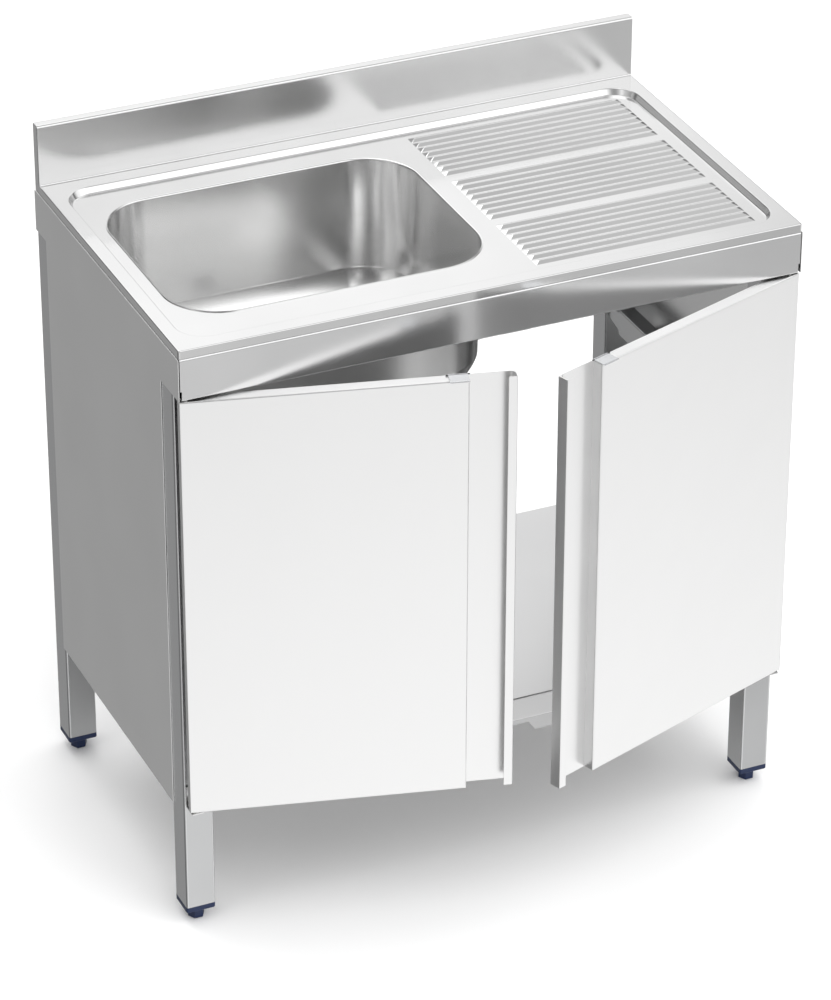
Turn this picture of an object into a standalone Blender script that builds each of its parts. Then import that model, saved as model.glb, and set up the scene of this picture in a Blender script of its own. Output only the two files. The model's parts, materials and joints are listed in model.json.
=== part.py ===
"""Stainless steel sink cabinet: pressed worktop with one bowl and a ribbed drainer, square
legs on levelling feet, side panels, a bottom shelf and two pivoted doors standing ajar."""
import math

import bmesh
import bpy
from mathutils import Matrix, Vector

# Driving dimensions, in metres

# Whole cabinet
WIDTH = 0.890
DEPTH = 0.532
HEIGHT = 0.900
SHEET = 0.0012
GAP = 0.0003

# Worktop and splashback
DECK_SHEET = 0.0015
LIP_HEIGHT = 0.012
LIP_INSET = 0.001
SPLASH_HEIGHT = 0.089
SPLASH_THICK = 0.017
SPLASH_INSET = 0.002
CAP_MARGIN = 0.001
RECESS_DEPTH = 0.008
RECESS_SLOPE = 0.007
RECESS_SIDE = 0.021
RECESS_FRONT = 0.024
RECESS_REAR = 0.026
RECESS_RADIUS = 0.040

# Drainer ribs
RIB_GROUPS = 3
RIB_GROUP_GAP = 0.0193
RIB_PITCH = 0.0161
RIB_WIDTH = 0.0125
RIB_CREST = 0.002
RIB_HEIGHT = 0.0036
RIB_HIP = 0.009
RIB_START = 0.030
RIB_END = 0.0445
RIB_FRONT = 0.049
RIB_REAR = 0.0498
STIFFENER_HEIGHT = 0.022
STIFFENER_WIDTH = 0.060
STIFFENER_FLANGE = 0.015
STIFFENER_CLEAR = 0.020

# Bowl and waste
BOWL_LENGTH = 0.4445
BOWL_LEFT = 0.045
BOWL_FRONT = 0.089
BOWL_REAR = 0.077
BOWL_RADIUS = 0.078
BOWL_DEPTH = 0.222
BOWL_FLOOR_RADIUS = 0.060
BOWL_DRAFT = 0.004
BOWL_FALL = 0.004
BOWL_SHEET = 0.0012
RIM_ROLL = 0.006
RIM_COLLAR = 0.004
BORE_CLEAR = 0.0015
WASTE_FLANGE = 0.041
SEAT_CLEAR = 0.003
WASTE_THICK = 0.003
WASTE_TUBE = 0.020
WASTE_WALL = 0.003
WASTE_LENGTH = 0.060
GASKET_THICK = 0.003
NUT_RADIUS = 0.040
NUT_HEIGHT = 0.012
THREAD_CLEAR = 0.0004

# Aprons and side panels
APRON_HEIGHT = 0.0602
APRON_TOP_FOLD = 0.010
CORNER_SEAM = 0.0012
CORNER_SLOT = 0.0022
CORNER_SLOT_HEIGHT = 0.014
PANEL_CLEARANCE = 0.180
PANEL_LAP = 0.0045
PANEL_FOLD = 0.015

# Legs, caps and feet
LEG = 0.042
LEG_WALL = 0.0015
LEG_RADIUS = 0.003
CAP_FLANGE = 0.0082
CAP_PLUG = 0.020
FOOT_HEIGHT = 0.0195
FOOT_RADIUS = 0.012
STUD_RADIUS = 0.005
STUD_LENGTH = 0.050
STUD_CLEAR = 0.0004

# Rails and shelf
MID_RAIL_TOP = 0.561
MID_RAIL_HEIGHT = 0.040
MID_RAIL_FLANGE = 0.024
MID_RAIL_TONGUE = 0.036
MID_RAIL_TIP = 0.016
SHELF_HEIGHT = 0.234
SHELF_FOLD = 0.0565
SHELF_REAR = 0.038
SHELF_REAR_FOLD = 0.030
SHELF_SLOT = 0.004
SHELF_NOTCH = 0.070
SHELF_NOTCH_SLANT = 0.010
SHELF_NOTCH_RISE = 0.0145
FRONT_RAIL_HEIGHT = 0.035
FRONT_RAIL_RISE = 0.0015

# Doors, pivots and catches
DOOR_THICK = 0.0175
DOOR_CLEARANCE = 0.1993
DOOR_BACK_CLEAR = 0.0095
DOOR_SIDE_INSET = 0.0025
DOOR_CENTRE_GAP = 0.010
LEFT_AJAR = math.radians(14.4)
RIGHT_AJAR = math.radians(19.5)
HANDLE_ZONE = 0.063
HANDLE_LIP = 0.012
PIVOT_EDGE = 0.010
PIN_RADIUS = 0.003
PIN_CLEAR = 0.0003
PIN_REACH = 0.012
PIN_TAIL = 0.0025
PIN_HEAD = 0.0055
PIN_HEAD_HEIGHT = 0.003
BRACKET_THICK = 0.0022
BRACKET_WIDTH = 0.017
BRACKET_HEIGHT = 0.030
BRACKET_NOSE = 0.0065
WASHER_RADIUS = 0.006
WASHER_THICK = 0.0015
CLIP_THICK = 0.0009
CLIP_WIDTH = 0.026
CLIP_NOSE = 0.003
CLIP_LIP = 0.006
CLIP_CLEAR = 0.001
MAGNET_LENGTH = 0.040
MAGNET_HEIGHT = 0.010
MAGNET_SET_IN = 0.010
MAGNET_CLEAR = 0.0006

# Facets
ARC_STEPS = 6
ROLL_STEPS = 4
ROUND_SIDES = 24

# Places worked out from the driving dimensions
HALF = WIDTH / 2
PIVOT_DEPTH = DOOR_THICK / 2
LEG_INSET = DOOR_THICK + DOOR_BACK_CLEAR
PIVOT_X = HALF - DOOR_SIDE_INSET - PIVOT_EDGE
DOOR_REACH = PIVOT_X - DOOR_CENTRE_GAP / 2
FACE_REACH = DOOR_REACH - HANDLE_ZONE


def door_swing(angle):
    """How far the free edge stands in front of the apron at this angle."""
    return DOOR_REACH * math.sin(angle) - PIVOT_DEPTH * (1 - math.cos(angle))


# The doors stand ajar, so the cabinet sits back from the middle of the whole box
FRONT = (max(door_swing(LEFT_AJAR), door_swing(RIGHT_AJAR)) - DEPTH) / 2
BACK = FRONT + DEPTH
PIVOT_Y = FRONT + PIVOT_DEPTH

LIP_BOTTOM = HEIGHT - LIP_HEIGHT
APRON_TOP = LIP_BOTTOM - GAP
APRON_BOTTOM = APRON_TOP - APRON_HEIGHT
RECESS_FLOOR = HEIGHT - RECESS_DEPTH
SPLASH_BACK = BACK - SPLASH_INSET
SPLASH_FRONT = SPLASH_BACK - SPLASH_THICK
SPLASH_TOP = HEIGHT + SPLASH_HEIGHT
DECK_HALF = HALF - LIP_INSET

PANEL_INSIDE = HALF - SHEET
LEG_OUT = PANEL_INSIDE - GAP
LEG_IN = LEG_OUT - LEG
FRONT_LEG = FRONT + LEG_INSET
REAR_LEG = BACK - SHEET - GAP - LEG
LEG_TOP = APRON_TOP - SHEET - GAP
LEG_BOTTOM = FOOT_HEIGHT + GAP + CAP_FLANGE + GAP
BAY_FRONT = FRONT_LEG + LEG
BAY_REAR = REAR_LEG

CLIP_TOP = APRON_BOTTOM - CLIP_CLEAR
DOOR_TOP = CLIP_TOP - CLIP_THICK - GAP
DOOR_BOTTOM = DOOR_CLEARANCE
FRONT_RAIL = FRONT_LEG + LEG_RADIUS
SHELF_FRONT = FRONT_RAIL + SHEET + SHELF_SLOT

BOWL_WIDTH = SPLASH_FRONT - BOWL_REAR - FRONT - BOWL_FRONT
BOWL_X = -HALF + BOWL_LEFT + BOWL_LENGTH / 2
BOWL_Y = FRONT + BOWL_FRONT + BOWL_WIDTH / 2
COLLAR_BOTTOM = RECESS_FLOOR - RIM_ROLL - RIM_COLLAR
BOWL_FLOOR = RECESS_FLOOR - BOWL_DEPTH
WASTE_SEAT = BOWL_FLOOR - BOWL_FALL

RIB_LEFT = BOWL_X + BOWL_LENGTH / 2 + RIB_START
RIB_LENGTH = HALF - RIB_END - RIB_LEFT
RIB_FIELD = SPLASH_FRONT - RIB_REAR - FRONT - RIB_FRONT
RIB_GROUP = (RIB_FIELD - (RIB_GROUPS - 1) * RIB_GROUP_GAP) / RIB_GROUPS
RIBS_IN_GROUP = round((RIB_GROUP - RIB_WIDTH) / RIB_PITCH) + 1
RIB_STEP = (RIB_GROUP - RIB_WIDTH) / (RIBS_IN_GROUP - 1)

STEEL = (0.62, 0.63, 0.64)
NAVY = (0.015, 0.03, 0.11)
BLACK = (0.02, 0.02, 0.02)
NYLON = (0.8, 0.8, 0.78)


def clear_scene():
    for obj in list(bpy.data.objects):
        bpy.data.objects.remove(obj, do_unlink=True)


def make_collection(name):
    group = bpy.data.collections.new(name)
    bpy.context.scene.collection.children.link(group)
    return group


def make_material(name, colour, metallic, roughness):
    mat = bpy.data.materials.new(name)
    mat.use_nodes = True
    shader = mat.node_tree.nodes["Principled BSDF"]
    shader.inputs["Base Color"].default_value = (*colour, 1.0)
    shader.inputs["Metallic"].default_value = metallic
    shader.inputs["Roughness"].default_value = roughness
    return mat


clear_scene()
PARTS = make_collection("sink_cabinet")
CUTTERS = make_collection("sink_cabinet_cutters")


def add_part(name, bm, colour=STEEL, metallic=1.0, roughness=0.3):
    """One named sub-part with its own material."""
    mesh = bpy.data.meshes.new(name)
    bm.to_mesh(mesh)
    bm.free()
    mesh.materials.append(make_material(name, colour, metallic, roughness))
    obj = bpy.data.objects.new(name, mesh)
    PARTS.objects.link(obj)
    return obj


def add_tool(part, bm, operation):
    """Cuts or joins a shape on a part with a Boolean modifier."""
    name = "%s_tool_%d" % (part.name, len(part.modifiers))
    mesh = bpy.data.meshes.new(name)
    bm.to_mesh(mesh)
    bm.free()
    tool = bpy.data.objects.new(name, mesh)
    CUTTERS.objects.link(tool)
    tool.parent = part
    tool.hide_render = True
    tool.display_type = "WIRE"
    mod = part.modifiers.new(name, "BOOLEAN")
    mod.operation = operation
    mod.solver = "EXACT"
    mod.object = tool


def cut(part, bm):
    add_tool(part, bm, "DIFFERENCE")


def join(part, bm):
    add_tool(part, bm, "UNION")


def swing(part, pivot_x, angle):
    """Puts a door piece on its pivot line and turns it to its rest angle."""
    part.location = (pivot_x, PIVOT_Y, 0.0)
    part.rotation_euler = (0.0, 0.0, angle)


def at(axis, along, a, b):
    """The point at a distance along an axis, with the other two coordinates in X, Y, Z order."""
    if axis == "X":
        return Vector((along, a, b))
    if axis == "Y":
        return Vector((a, along, b))
    return Vector((a, b, along))


def prism(outline, axis, start, stop):
    """A closed outline pushed out along an axis."""
    bm = bmesh.new()
    ring = [bm.verts.new(at(axis, start, a, b)) for a, b in outline]
    face = bm.faces.new(ring)
    swept = bmesh.ops.extrude_face_region(bm, geom=[face])["geom"]
    moved = [item for item in swept if isinstance(item, bmesh.types.BMVert)]
    bmesh.ops.translate(bm, verts=moved, vec=at(axis, stop - start, 0.0, 0.0))
    bmesh.ops.recalc_face_normals(bm, faces=bm.faces)
    return bm


def block(x, y, z):
    """A box between two values on each axis."""
    spans = (x, y, z)
    centre = Vector([(low + high) / 2 for low, high in spans])
    size = [high - low for low, high in spans]
    bm = bmesh.new()
    place = Matrix.Translation(centre) @ Matrix.Diagonal((*size, 1.0))
    bmesh.ops.create_cube(bm, size=1.0, matrix=place)
    return bm


def rod(x, y, radius, z, sides=ROUND_SIDES):
    """An upright round or many-sided bar."""
    bm = bmesh.new()
    place = Matrix.Translation((x, y, (z[0] + z[1]) / 2))
    bmesh.ops.create_cone(bm, cap_ends=True, segments=sides, radius1=radius, radius2=radius,
                          depth=z[1] - z[0], matrix=place)
    for face in bm.faces:
        face.smooth = sides == ROUND_SIDES and len(face.verts) == 4
    return bm


def folded(path, thick):
    """The outline of a folded strip: a path of square bends, thickened to its left."""
    moved = []
    last = len(path) - 1
    for i, point in enumerate(path):
        before = Vector(path[i]) - Vector(path[i - 1]) if i > 0 else None
        after = Vector(path[i + 1]) - Vector(path[i]) if i < last else None
        sides = [Vector((-d.y, d.x)).normalized() for d in (before, after) if d is not None]
        shift = sides[0]
        if len(sides) == 2:
            shift = (sides[0] + sides[1]) / (1.0 + sides[0].dot(sides[1]))
        moved.append((point[0] + shift.x * thick, point[1] + shift.y * thick))
    return list(path) + moved[::-1]


def mirrored(outline, side):
    """An outline drawn for the right side, or its mirror image for the left."""
    if side > 0:
        return outline
    return [(-a, b) for a, b in reversed(outline)]


def rounded(x, y, half_x, half_y, radius, offset=0.0):
    """A rectangle with round corners, grown or shrunk by an offset."""
    points = []
    for corner, (sx, sy) in enumerate(((1, 1), (-1, 1), (-1, -1), (1, -1))):
        for step in range(ARC_STEPS + 1):
            turn = (corner + step / ARC_STEPS) * math.pi / 2
            reach = radius + offset
            points.append((x + sx * (half_x - radius) + reach * math.cos(turn),
                           y + sy * (half_y - radius) + reach * math.sin(turn)))
    return points


def ring_round(x, y, radius):
    """A circle with as many points as a rounded rectangle."""
    count = 4 * (ARC_STEPS + 1)
    start = -math.pi / count
    angles = [start + 2 * math.pi * (i + 0.5) / count for i in range(count)]
    return [(x + radius * math.cos(a), y + radius * math.sin(a)) for a in angles]


def loft(rings, closed=True, smooth=False, bm=None):
    """A skin through level outlines, each a height and its points, from the bottom up."""
    bm = bm or bmesh.new()
    loops = [[bm.verts.new((a, b, z)) for a, b in points] for z, points in rings]
    for lower, upper in zip(loops, loops[1:]):
        count = len(lower)
        for i in range(count):
            j = (i + 1) % count
            face = bm.faces.new((lower[i], lower[j], upper[j], upper[i]))
            face.smooth = smooth
    if closed:
        bm.faces.new(loops[0][::-1])
        bm.faces.new(loops[-1])
    bmesh.ops.recalc_face_normals(bm, faces=bm.faces)
    return bm


def recess_ring(offset):
    """The outline of the wet area, grown by an offset from its outer edge."""
    half_x = HALF - RECESS_SIDE
    near = FRONT + RECESS_FRONT
    far = SPLASH_FRONT - RECESS_REAR
    return rounded(0.0, (near + far) / 2, half_x, (far - near) / 2, RECESS_RADIUS, offset)


def bowl_ring(offset):
    return rounded(BOWL_X, BOWL_Y, BOWL_LENGTH / 2, BOWL_WIDTH / 2, BOWL_RADIUS, offset)


def rim_roll(extra):
    """Heights and outlines of the rim's round shoulder, seen from the bowl or from outside it."""
    rings = []
    for step in range(ROLL_STEPS + 1):
        turn = math.pi / 2 * step / ROLL_STEPS
        height = RECESS_FLOOR + GAP - RIM_ROLL * (1 - math.sin(turn)) - extra
        rings.append((height, bowl_ring(RIM_ROLL * (1 - math.cos(turn)) + extra)))
    return rings


def add_rib(bm, x, y, z):
    """Adds one hip-ended drainer rib, from a rectangle up to a narrow crest."""
    rings = []
    for height, half_x, half_y in ((z, RIB_LENGTH / 2, RIB_WIDTH / 2),
                                   (z + RIB_HEIGHT, RIB_LENGTH / 2 - RIB_HIP, RIB_CREST / 2)):
        corners = [(half_x, half_y), (-half_x, half_y), (-half_x, -half_y), (half_x, -half_y)]
        rings.append((height, [(x + a, y + b) for a, b in corners]))
    loft(rings, bm=bm)


def worktop():
    profile = folded([(FRONT + LIP_INSET, LIP_BOTTOM), (FRONT + LIP_INSET, HEIGHT),
                      (SPLASH_FRONT, HEIGHT), (SPLASH_FRONT, SPLASH_TOP),
                      (SPLASH_BACK, SPLASH_TOP), (SPLASH_BACK, LIP_BOTTOM)], -DECK_SHEET)
    top = add_part("worktop", prism(profile, "X", -DECK_HALF, DECK_HALF))
    middle = HEIGHT - DECK_SHEET / 2
    inner = DECK_HALF - DECK_SHEET
    lip_ends = (FRONT + LIP_INSET + DECK_SHEET / 2, SPLASH_BACK - DECK_SHEET / 2)
    join(top, block((-DECK_HALF, -inner), lip_ends, (LIP_BOTTOM, middle)))
    join(top, block((inner, DECK_HALF), lip_ends, (LIP_BOTTOM, middle)))

    rise = RECESS_SLOPE / RECESS_DEPTH
    pan_top = middle - RECESS_FLOOR
    join(top, loft([(RECESS_FLOOR - DECK_SHEET, recess_ring(DECK_SHEET - RECESS_SLOPE)),
                    (middle, recess_ring(DECK_SHEET - RECESS_SLOPE + rise * pan_top))]))
    over = RECESS_DEPTH + DECK_SHEET
    cut(top, loft([(RECESS_FLOOR, recess_ring(-RECESS_SLOPE)),
                   (RECESS_FLOOR + over, recess_ring(rise * over - RECESS_SLOPE))]))

    floor_middle = RECESS_FLOOR - DECK_SHEET / 2
    shoulder = [ring for ring in rim_roll(DECK_SHEET) if ring[0] < floor_middle - DECK_SHEET / 4]
    last = shoulder[-1][1]
    join(top, loft([(COLLAR_BOTTOM, bowl_ring(DECK_SHEET))] + shoulder + [(floor_middle, last)]))
    throat = rim_roll(0.0)
    cut(top, loft([(COLLAR_BOTTOM - DECK_SHEET, bowl_ring(0.0))] + throat
                  + [(HEIGHT, throat[-1][1])]))

    x = RIB_LEFT + RIB_LENGTH / 2
    first = FRONT + RIB_FRONT + RIB_WIDTH / 2
    ribs = bmesh.new()
    for group in range(RIB_GROUPS):
        near = first + group * (RIB_GROUP + RIB_GROUP_GAP)
        for number in range(RIBS_IN_GROUP):
            add_rib(ribs, x, near + number * RIB_STEP, floor_middle)
    join(top, ribs)


def splash_caps():
    y = (SPLASH_FRONT + DECK_SHEET + CAP_MARGIN, SPLASH_BACK - DECK_SHEET - GAP)
    z = (HEIGHT - DECK_SHEET / 2 + GAP, SPLASH_TOP - DECK_SHEET - GAP)
    for name, side in (("left", -1), ("right", 1)):
        ends = sorted((side * DECK_HALF, side * (DECK_HALF - SHEET)))
        add_part("splash_cap_" + name, block(ends, y, z))


def drainer_stiffener():
    top = RECESS_FLOOR - DECK_SHEET - GAP
    bottom = top - STIFFENER_HEIGHT
    half = STIFFENER_WIDTH / 2
    y = FRONT + DEPTH / 2
    path = [(y - half - STIFFENER_FLANGE, top), (y - half, top), (y - half, bottom),
            (y + half, bottom), (y + half, top), (y + half + STIFFENER_FLANGE, top)]
    start = BOWL_X + BOWL_LENGTH / 2 + STIFFENER_CLEAR
    stop = HALF - RECESS_SIDE - STIFFENER_CLEAR
    add_part("drainer_stiffener", prism(folded(path, -SHEET), "X", start, stop))


def sink_bowl():
    fillet = min(BOWL_FLOOR_RADIUS, BOWL_RADIUS - BOWL_DRAFT - BOWL_SHEET)
    rings = [(WASTE_SEAT, ring_round(BOWL_X, BOWL_Y, WASTE_TUBE + BORE_CLEAR)),
             (WASTE_SEAT, ring_round(BOWL_X, BOWL_Y, WASTE_FLANGE + SEAT_CLEAR))]
    for step in range(ARC_STEPS + 1):
        turn = math.pi / 2 * step / ARC_STEPS
        inset = BOWL_DRAFT + fillet * (1 - math.sin(turn))
        rings.append((BOWL_FLOOR + fillet * (1 - math.cos(turn)), bowl_ring(-inset)))
    rings.append((COLLAR_BOTTOM - GAP, bowl_ring(0.0)))
    bowl = add_part("sink_bowl", loft(rings, closed=False, smooth=True))
    shell = bowl.modifiers.new("sheet", "SOLIDIFY")
    shell.thickness = BOWL_SHEET
    shell.offset = 1.0
    shell.use_even_offset = True


def waste():
    """Strainer and tail through the bowl floor, with a gasket and a nut below it."""
    flange = (WASTE_SEAT + GAP, WASTE_SEAT + GAP + WASTE_THICK)
    strainer = add_part("waste_strainer", rod(BOWL_X, BOWL_Y, WASTE_FLANGE, flange))
    tail = (WASTE_SEAT - WASTE_LENGTH, WASTE_SEAT + GAP + WASTE_THICK / 2)
    join(strainer, rod(BOWL_X, BOWL_Y, WASTE_TUBE, tail))
    through = (WASTE_SEAT - 2 * WASTE_LENGTH, HEIGHT)
    cut(strainer, rod(BOWL_X, BOWL_Y, WASTE_TUBE - WASTE_WALL, through))

    gasket_top = WASTE_SEAT - BOWL_SHEET - GAP
    gasket_bottom = gasket_top - GASKET_THICK
    ring = rod(BOWL_X, BOWL_Y, NUT_RADIUS, (gasket_bottom, gasket_top))
    gasket = add_part("waste_gasket", ring, BLACK, 0.0, 0.8)
    cut(gasket, rod(BOWL_X, BOWL_Y, WASTE_TUBE + THREAD_CLEAR, through))

    nut_top = gasket_bottom - GAP
    hexagon = rod(BOWL_X, BOWL_Y, NUT_RADIUS, (nut_top - NUT_HEIGHT, nut_top), 6)
    nut = add_part("waste_nut", hexagon, NYLON, 0.0, 0.5)
    cut(nut, rod(BOWL_X, BOWL_Y, WASTE_TUBE + THREAD_CLEAR, through))


def aprons():
    half = PANEL_INSIDE - CORNER_SEAM
    bottom_fold = LEG_INSET - GAP
    path = [(FRONT + APRON_TOP_FOLD, APRON_TOP), (FRONT, APRON_TOP),
            (FRONT, APRON_BOTTOM), (FRONT + bottom_fold, APRON_BOTTOM)]
    front = add_part("front_apron", prism(folded(path, SHEET), "X", -half, half))
    slot_z = (APRON_BOTTOM - SHEET, APRON_BOTTOM + CORNER_SLOT_HEIGHT)
    slot_y = (FRONT - SHEET, FRONT + bottom_fold + SHEET)
    for side in (-1, 1):
        slot_x = sorted((side * (half - CORNER_SLOT), side * HALF))
        cut(front, block(slot_x, slot_y, slot_z))
        hole_z = (APRON_BOTTOM - SHEET, APRON_BOTTOM + 2 * SHEET)
        cut(front, rod(side * PIVOT_X, PIVOT_Y, PIN_RADIUS + PIN_CLEAR, hole_z))

    path = [(BACK - APRON_TOP_FOLD, APRON_TOP), (BACK, APRON_TOP), (BACK, APRON_BOTTOM)]
    add_part("rear_apron", prism(folded(path, -SHEET), "X", -half, half))


def side_panels():
    """A sheet that reaches the corners above, and laps the legs between floor and apron."""
    low = (BAY_FRONT - PANEL_LAP, BAY_REAR + PANEL_LAP)
    outline = [(FRONT, APRON_TOP), (FRONT, APRON_BOTTOM), (low[0], APRON_BOTTOM),
               (low[0], PANEL_CLEARANCE), (low[1], PANEL_CLEARANCE), (low[1], APRON_BOTTOM),
               (BACK, APRON_BOTTOM), (BACK, APRON_TOP)]
    for name, side in (("left", -1), ("right", 1)):
        sheet = prism(outline, "X", side * PANEL_INSIDE, side * HALF)
        panel = add_part(name + "_side_panel", sheet)
        fold_x = sorted((side * (HALF - PANEL_FOLD), side * (HALF - SHEET / 2)))
        foot_y = (BAY_FRONT + GAP, BAY_REAR - GAP)
        join(panel, block(fold_x, foot_y, (PANEL_CLEARANCE, PANEL_CLEARANCE + SHEET)))
        head_y = (FRONT + APRON_TOP_FOLD + GAP, BACK - APRON_TOP_FOLD - GAP)
        join(panel, block(fold_x, head_y, (APRON_TOP - SHEET, APRON_TOP)))


def leg_places():
    """Name, outer side and near face of each leg."""
    return (("front_left", -1, FRONT_LEG), ("front_right", 1, FRONT_LEG),
            ("rear_left", -1, REAR_LEG), ("rear_right", 1, REAR_LEG))


def legs():
    for name, side, near in leg_places():
        x = side * (LEG_OUT - LEG / 2)
        y = near + LEG / 2
        ring = rounded(x, y, LEG / 2, LEG / 2, LEG_RADIUS)
        leg = add_part("leg_" + name, loft([(LEG_BOTTOM, ring), (LEG_TOP, ring)], closed=False))
        wall = leg.modifiers.new("wall", "SOLIDIFY")
        wall.thickness = LEG_WALL
        wall.offset = -1.0
        wall.use_even_offset = True

        cap_bottom = FOOT_HEIGHT + GAP
        flange = (cap_bottom, cap_bottom + CAP_FLANGE)
        cap = add_part("foot_cap_" + name, loft([(z, ring) for z in flange]), NAVY, 0.0, 0.45)
        inside = rounded(x, y, LEG / 2, LEG / 2, LEG_RADIUS, -LEG_WALL - GAP)
        plug = (cap_bottom + CAP_FLANGE / 2, LEG_BOTTOM + CAP_PLUG)
        join(cap, loft([(z, inside) for z in plug]))
        bore = (cap_bottom - CAP_FLANGE, LEG_BOTTOM + 2 * CAP_PLUG)
        cut(cap, rod(x, y, STUD_RADIUS + STUD_CLEAR, bore))

        hexagon = rod(0.0, 0.0, FOOT_RADIUS, (0.0, FOOT_HEIGHT), 6)
        foot = add_part("foot_" + name, hexagon, NAVY, 0.0, 0.45)
        foot.location = (x, y, 0.0)
        join(foot, rod(0.0, 0.0, STUD_RADIUS, (FOOT_HEIGHT / 2, FOOT_HEIGHT + STUD_LENGTH)))


def mid_rails():
    """Channels halfway up between the legs, each with a tongue tapering to the legs."""
    low = MID_RAIL_TOP - MID_RAIL_HEIGHT
    inner = LEG_IN + LEG_RADIUS
    outer = inner + MID_RAIL_FLANGE
    ends = (BAY_FRONT + MID_RAIL_TONGUE, BAY_REAR - MID_RAIL_TONGUE)
    middle = MID_RAIL_TOP - MID_RAIL_HEIGHT / 2
    tip = MID_RAIL_TIP / 2
    near = BAY_FRONT + GAP
    far = BAY_REAR - GAP
    tongue = [(near, middle - tip), (ends[0], low), (ends[1], low), (far, middle - tip),
              (far, middle + tip), (ends[1], MID_RAIL_TOP), (ends[0], MID_RAIL_TOP),
              (near, middle + tip)]
    path = [(outer, low), (inner, low), (inner, MID_RAIL_TOP), (outer, MID_RAIL_TOP)]
    section = folded(path, -SHEET)
    for name, side in (("left", -1), ("right", 1)):
        rail = add_part(name + "_mid_rail", prism(mirrored(section, side), "Y", *ends))
        join(rail, prism(tongue, "X", side * inner, side * (inner + SHEET)))


def shelf():
    rear = BACK - SHELF_REAR
    low = SHELF_HEIGHT - SHELF_FOLD
    path = [(SHELF_FRONT, low), (SHELF_FRONT, SHELF_HEIGHT), (rear, SHELF_HEIGHT),
            (rear, SHELF_HEIGHT - SHELF_REAR_FOLD)]
    half = PANEL_INSIDE - GAP
    tray = add_part("bottom_shelf", prism(folded(path, -SHEET), "X", -half, half))
    z = (low - SHEET, SHELF_HEIGHT + SHEET)
    for side in (-1, 1):
        x = sorted((side * (LEG_IN - GAP), side * HALF))
        cut(tray, block(x, (FRONT, BAY_FRONT + GAP), z))
        cut(tray, block(x, (BAY_REAR - GAP, BACK), z))
    top = low + SHELF_NOTCH_RISE
    base = SHELF_NOTCH + SHELF_NOTCH_SLANT * (1 + SHEET / SHELF_NOTCH_RISE)
    notch = [(-base, low - SHEET), (base, low - SHEET), (SHELF_NOTCH, top), (-SHELF_NOTCH, top)]
    cut(tray, prism(notch, "Y", FRONT, SHELF_FRONT + 2 * SHEET))

    rail_top = SHELF_HEIGHT + FRONT_RAIL_RISE
    rail_z = (rail_top - FRONT_RAIL_HEIGHT, rail_top)
    half = LEG_IN - GAP
    add_part("front_bottom_rail", block((-half, half), (FRONT_RAIL, FRONT_RAIL + SHEET), rail_z))


def pivots():
    """Bottom brackets with their pins and washers, and pins through the apron above."""
    tongue_top = DOOR_BOTTOM - GAP - WASHER_THICK - GAP
    tongue = (tongue_top - BRACKET_THICK, tongue_top)
    rear = FRONT_LEG - GAP
    for name, side in (("left", -1), ("right", 1)):
        x = side * PIVOT_X
        width = (x - BRACKET_WIDTH / 2, x + BRACKET_WIDTH / 2)
        foot = block(width, (PIVOT_Y - BRACKET_NOSE, rear), tongue)
        bracket = add_part(name + "_pivot_bracket", foot)
        plate = (tongue_top - BRACKET_THICK / 2, tongue_top + BRACKET_HEIGHT)
        join(bracket, block(width, (rear - BRACKET_THICK, rear), plate))
        pin = (tongue[0] - PIN_TAIL, DOOR_BOTTOM + PIN_REACH)
        join(bracket, rod(x, PIVOT_Y, PIN_RADIUS, pin))

        washer = (tongue_top + GAP, tongue_top + GAP + WASHER_THICK)
        ring = rod(x, PIVOT_Y, WASHER_RADIUS, washer)
        disc = add_part(name + "_pivot_washer", ring, NYLON, 0.0, 0.5)
        cut(disc, rod(x, PIVOT_Y, PIN_RADIUS + PIN_CLEAR, pin))

        head = APRON_BOTTOM + SHEET + GAP
        upper = add_part(name + "_top_pin", rod(x, PIVOT_Y, PIN_HEAD, (head, head + PIN_HEAD_HEIGHT)))
        join(upper, rod(x, PIVOT_Y, PIN_RADIUS, (DOOR_TOP - PIN_REACH, head + PIN_HEAD_HEIGHT / 2)))


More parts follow.
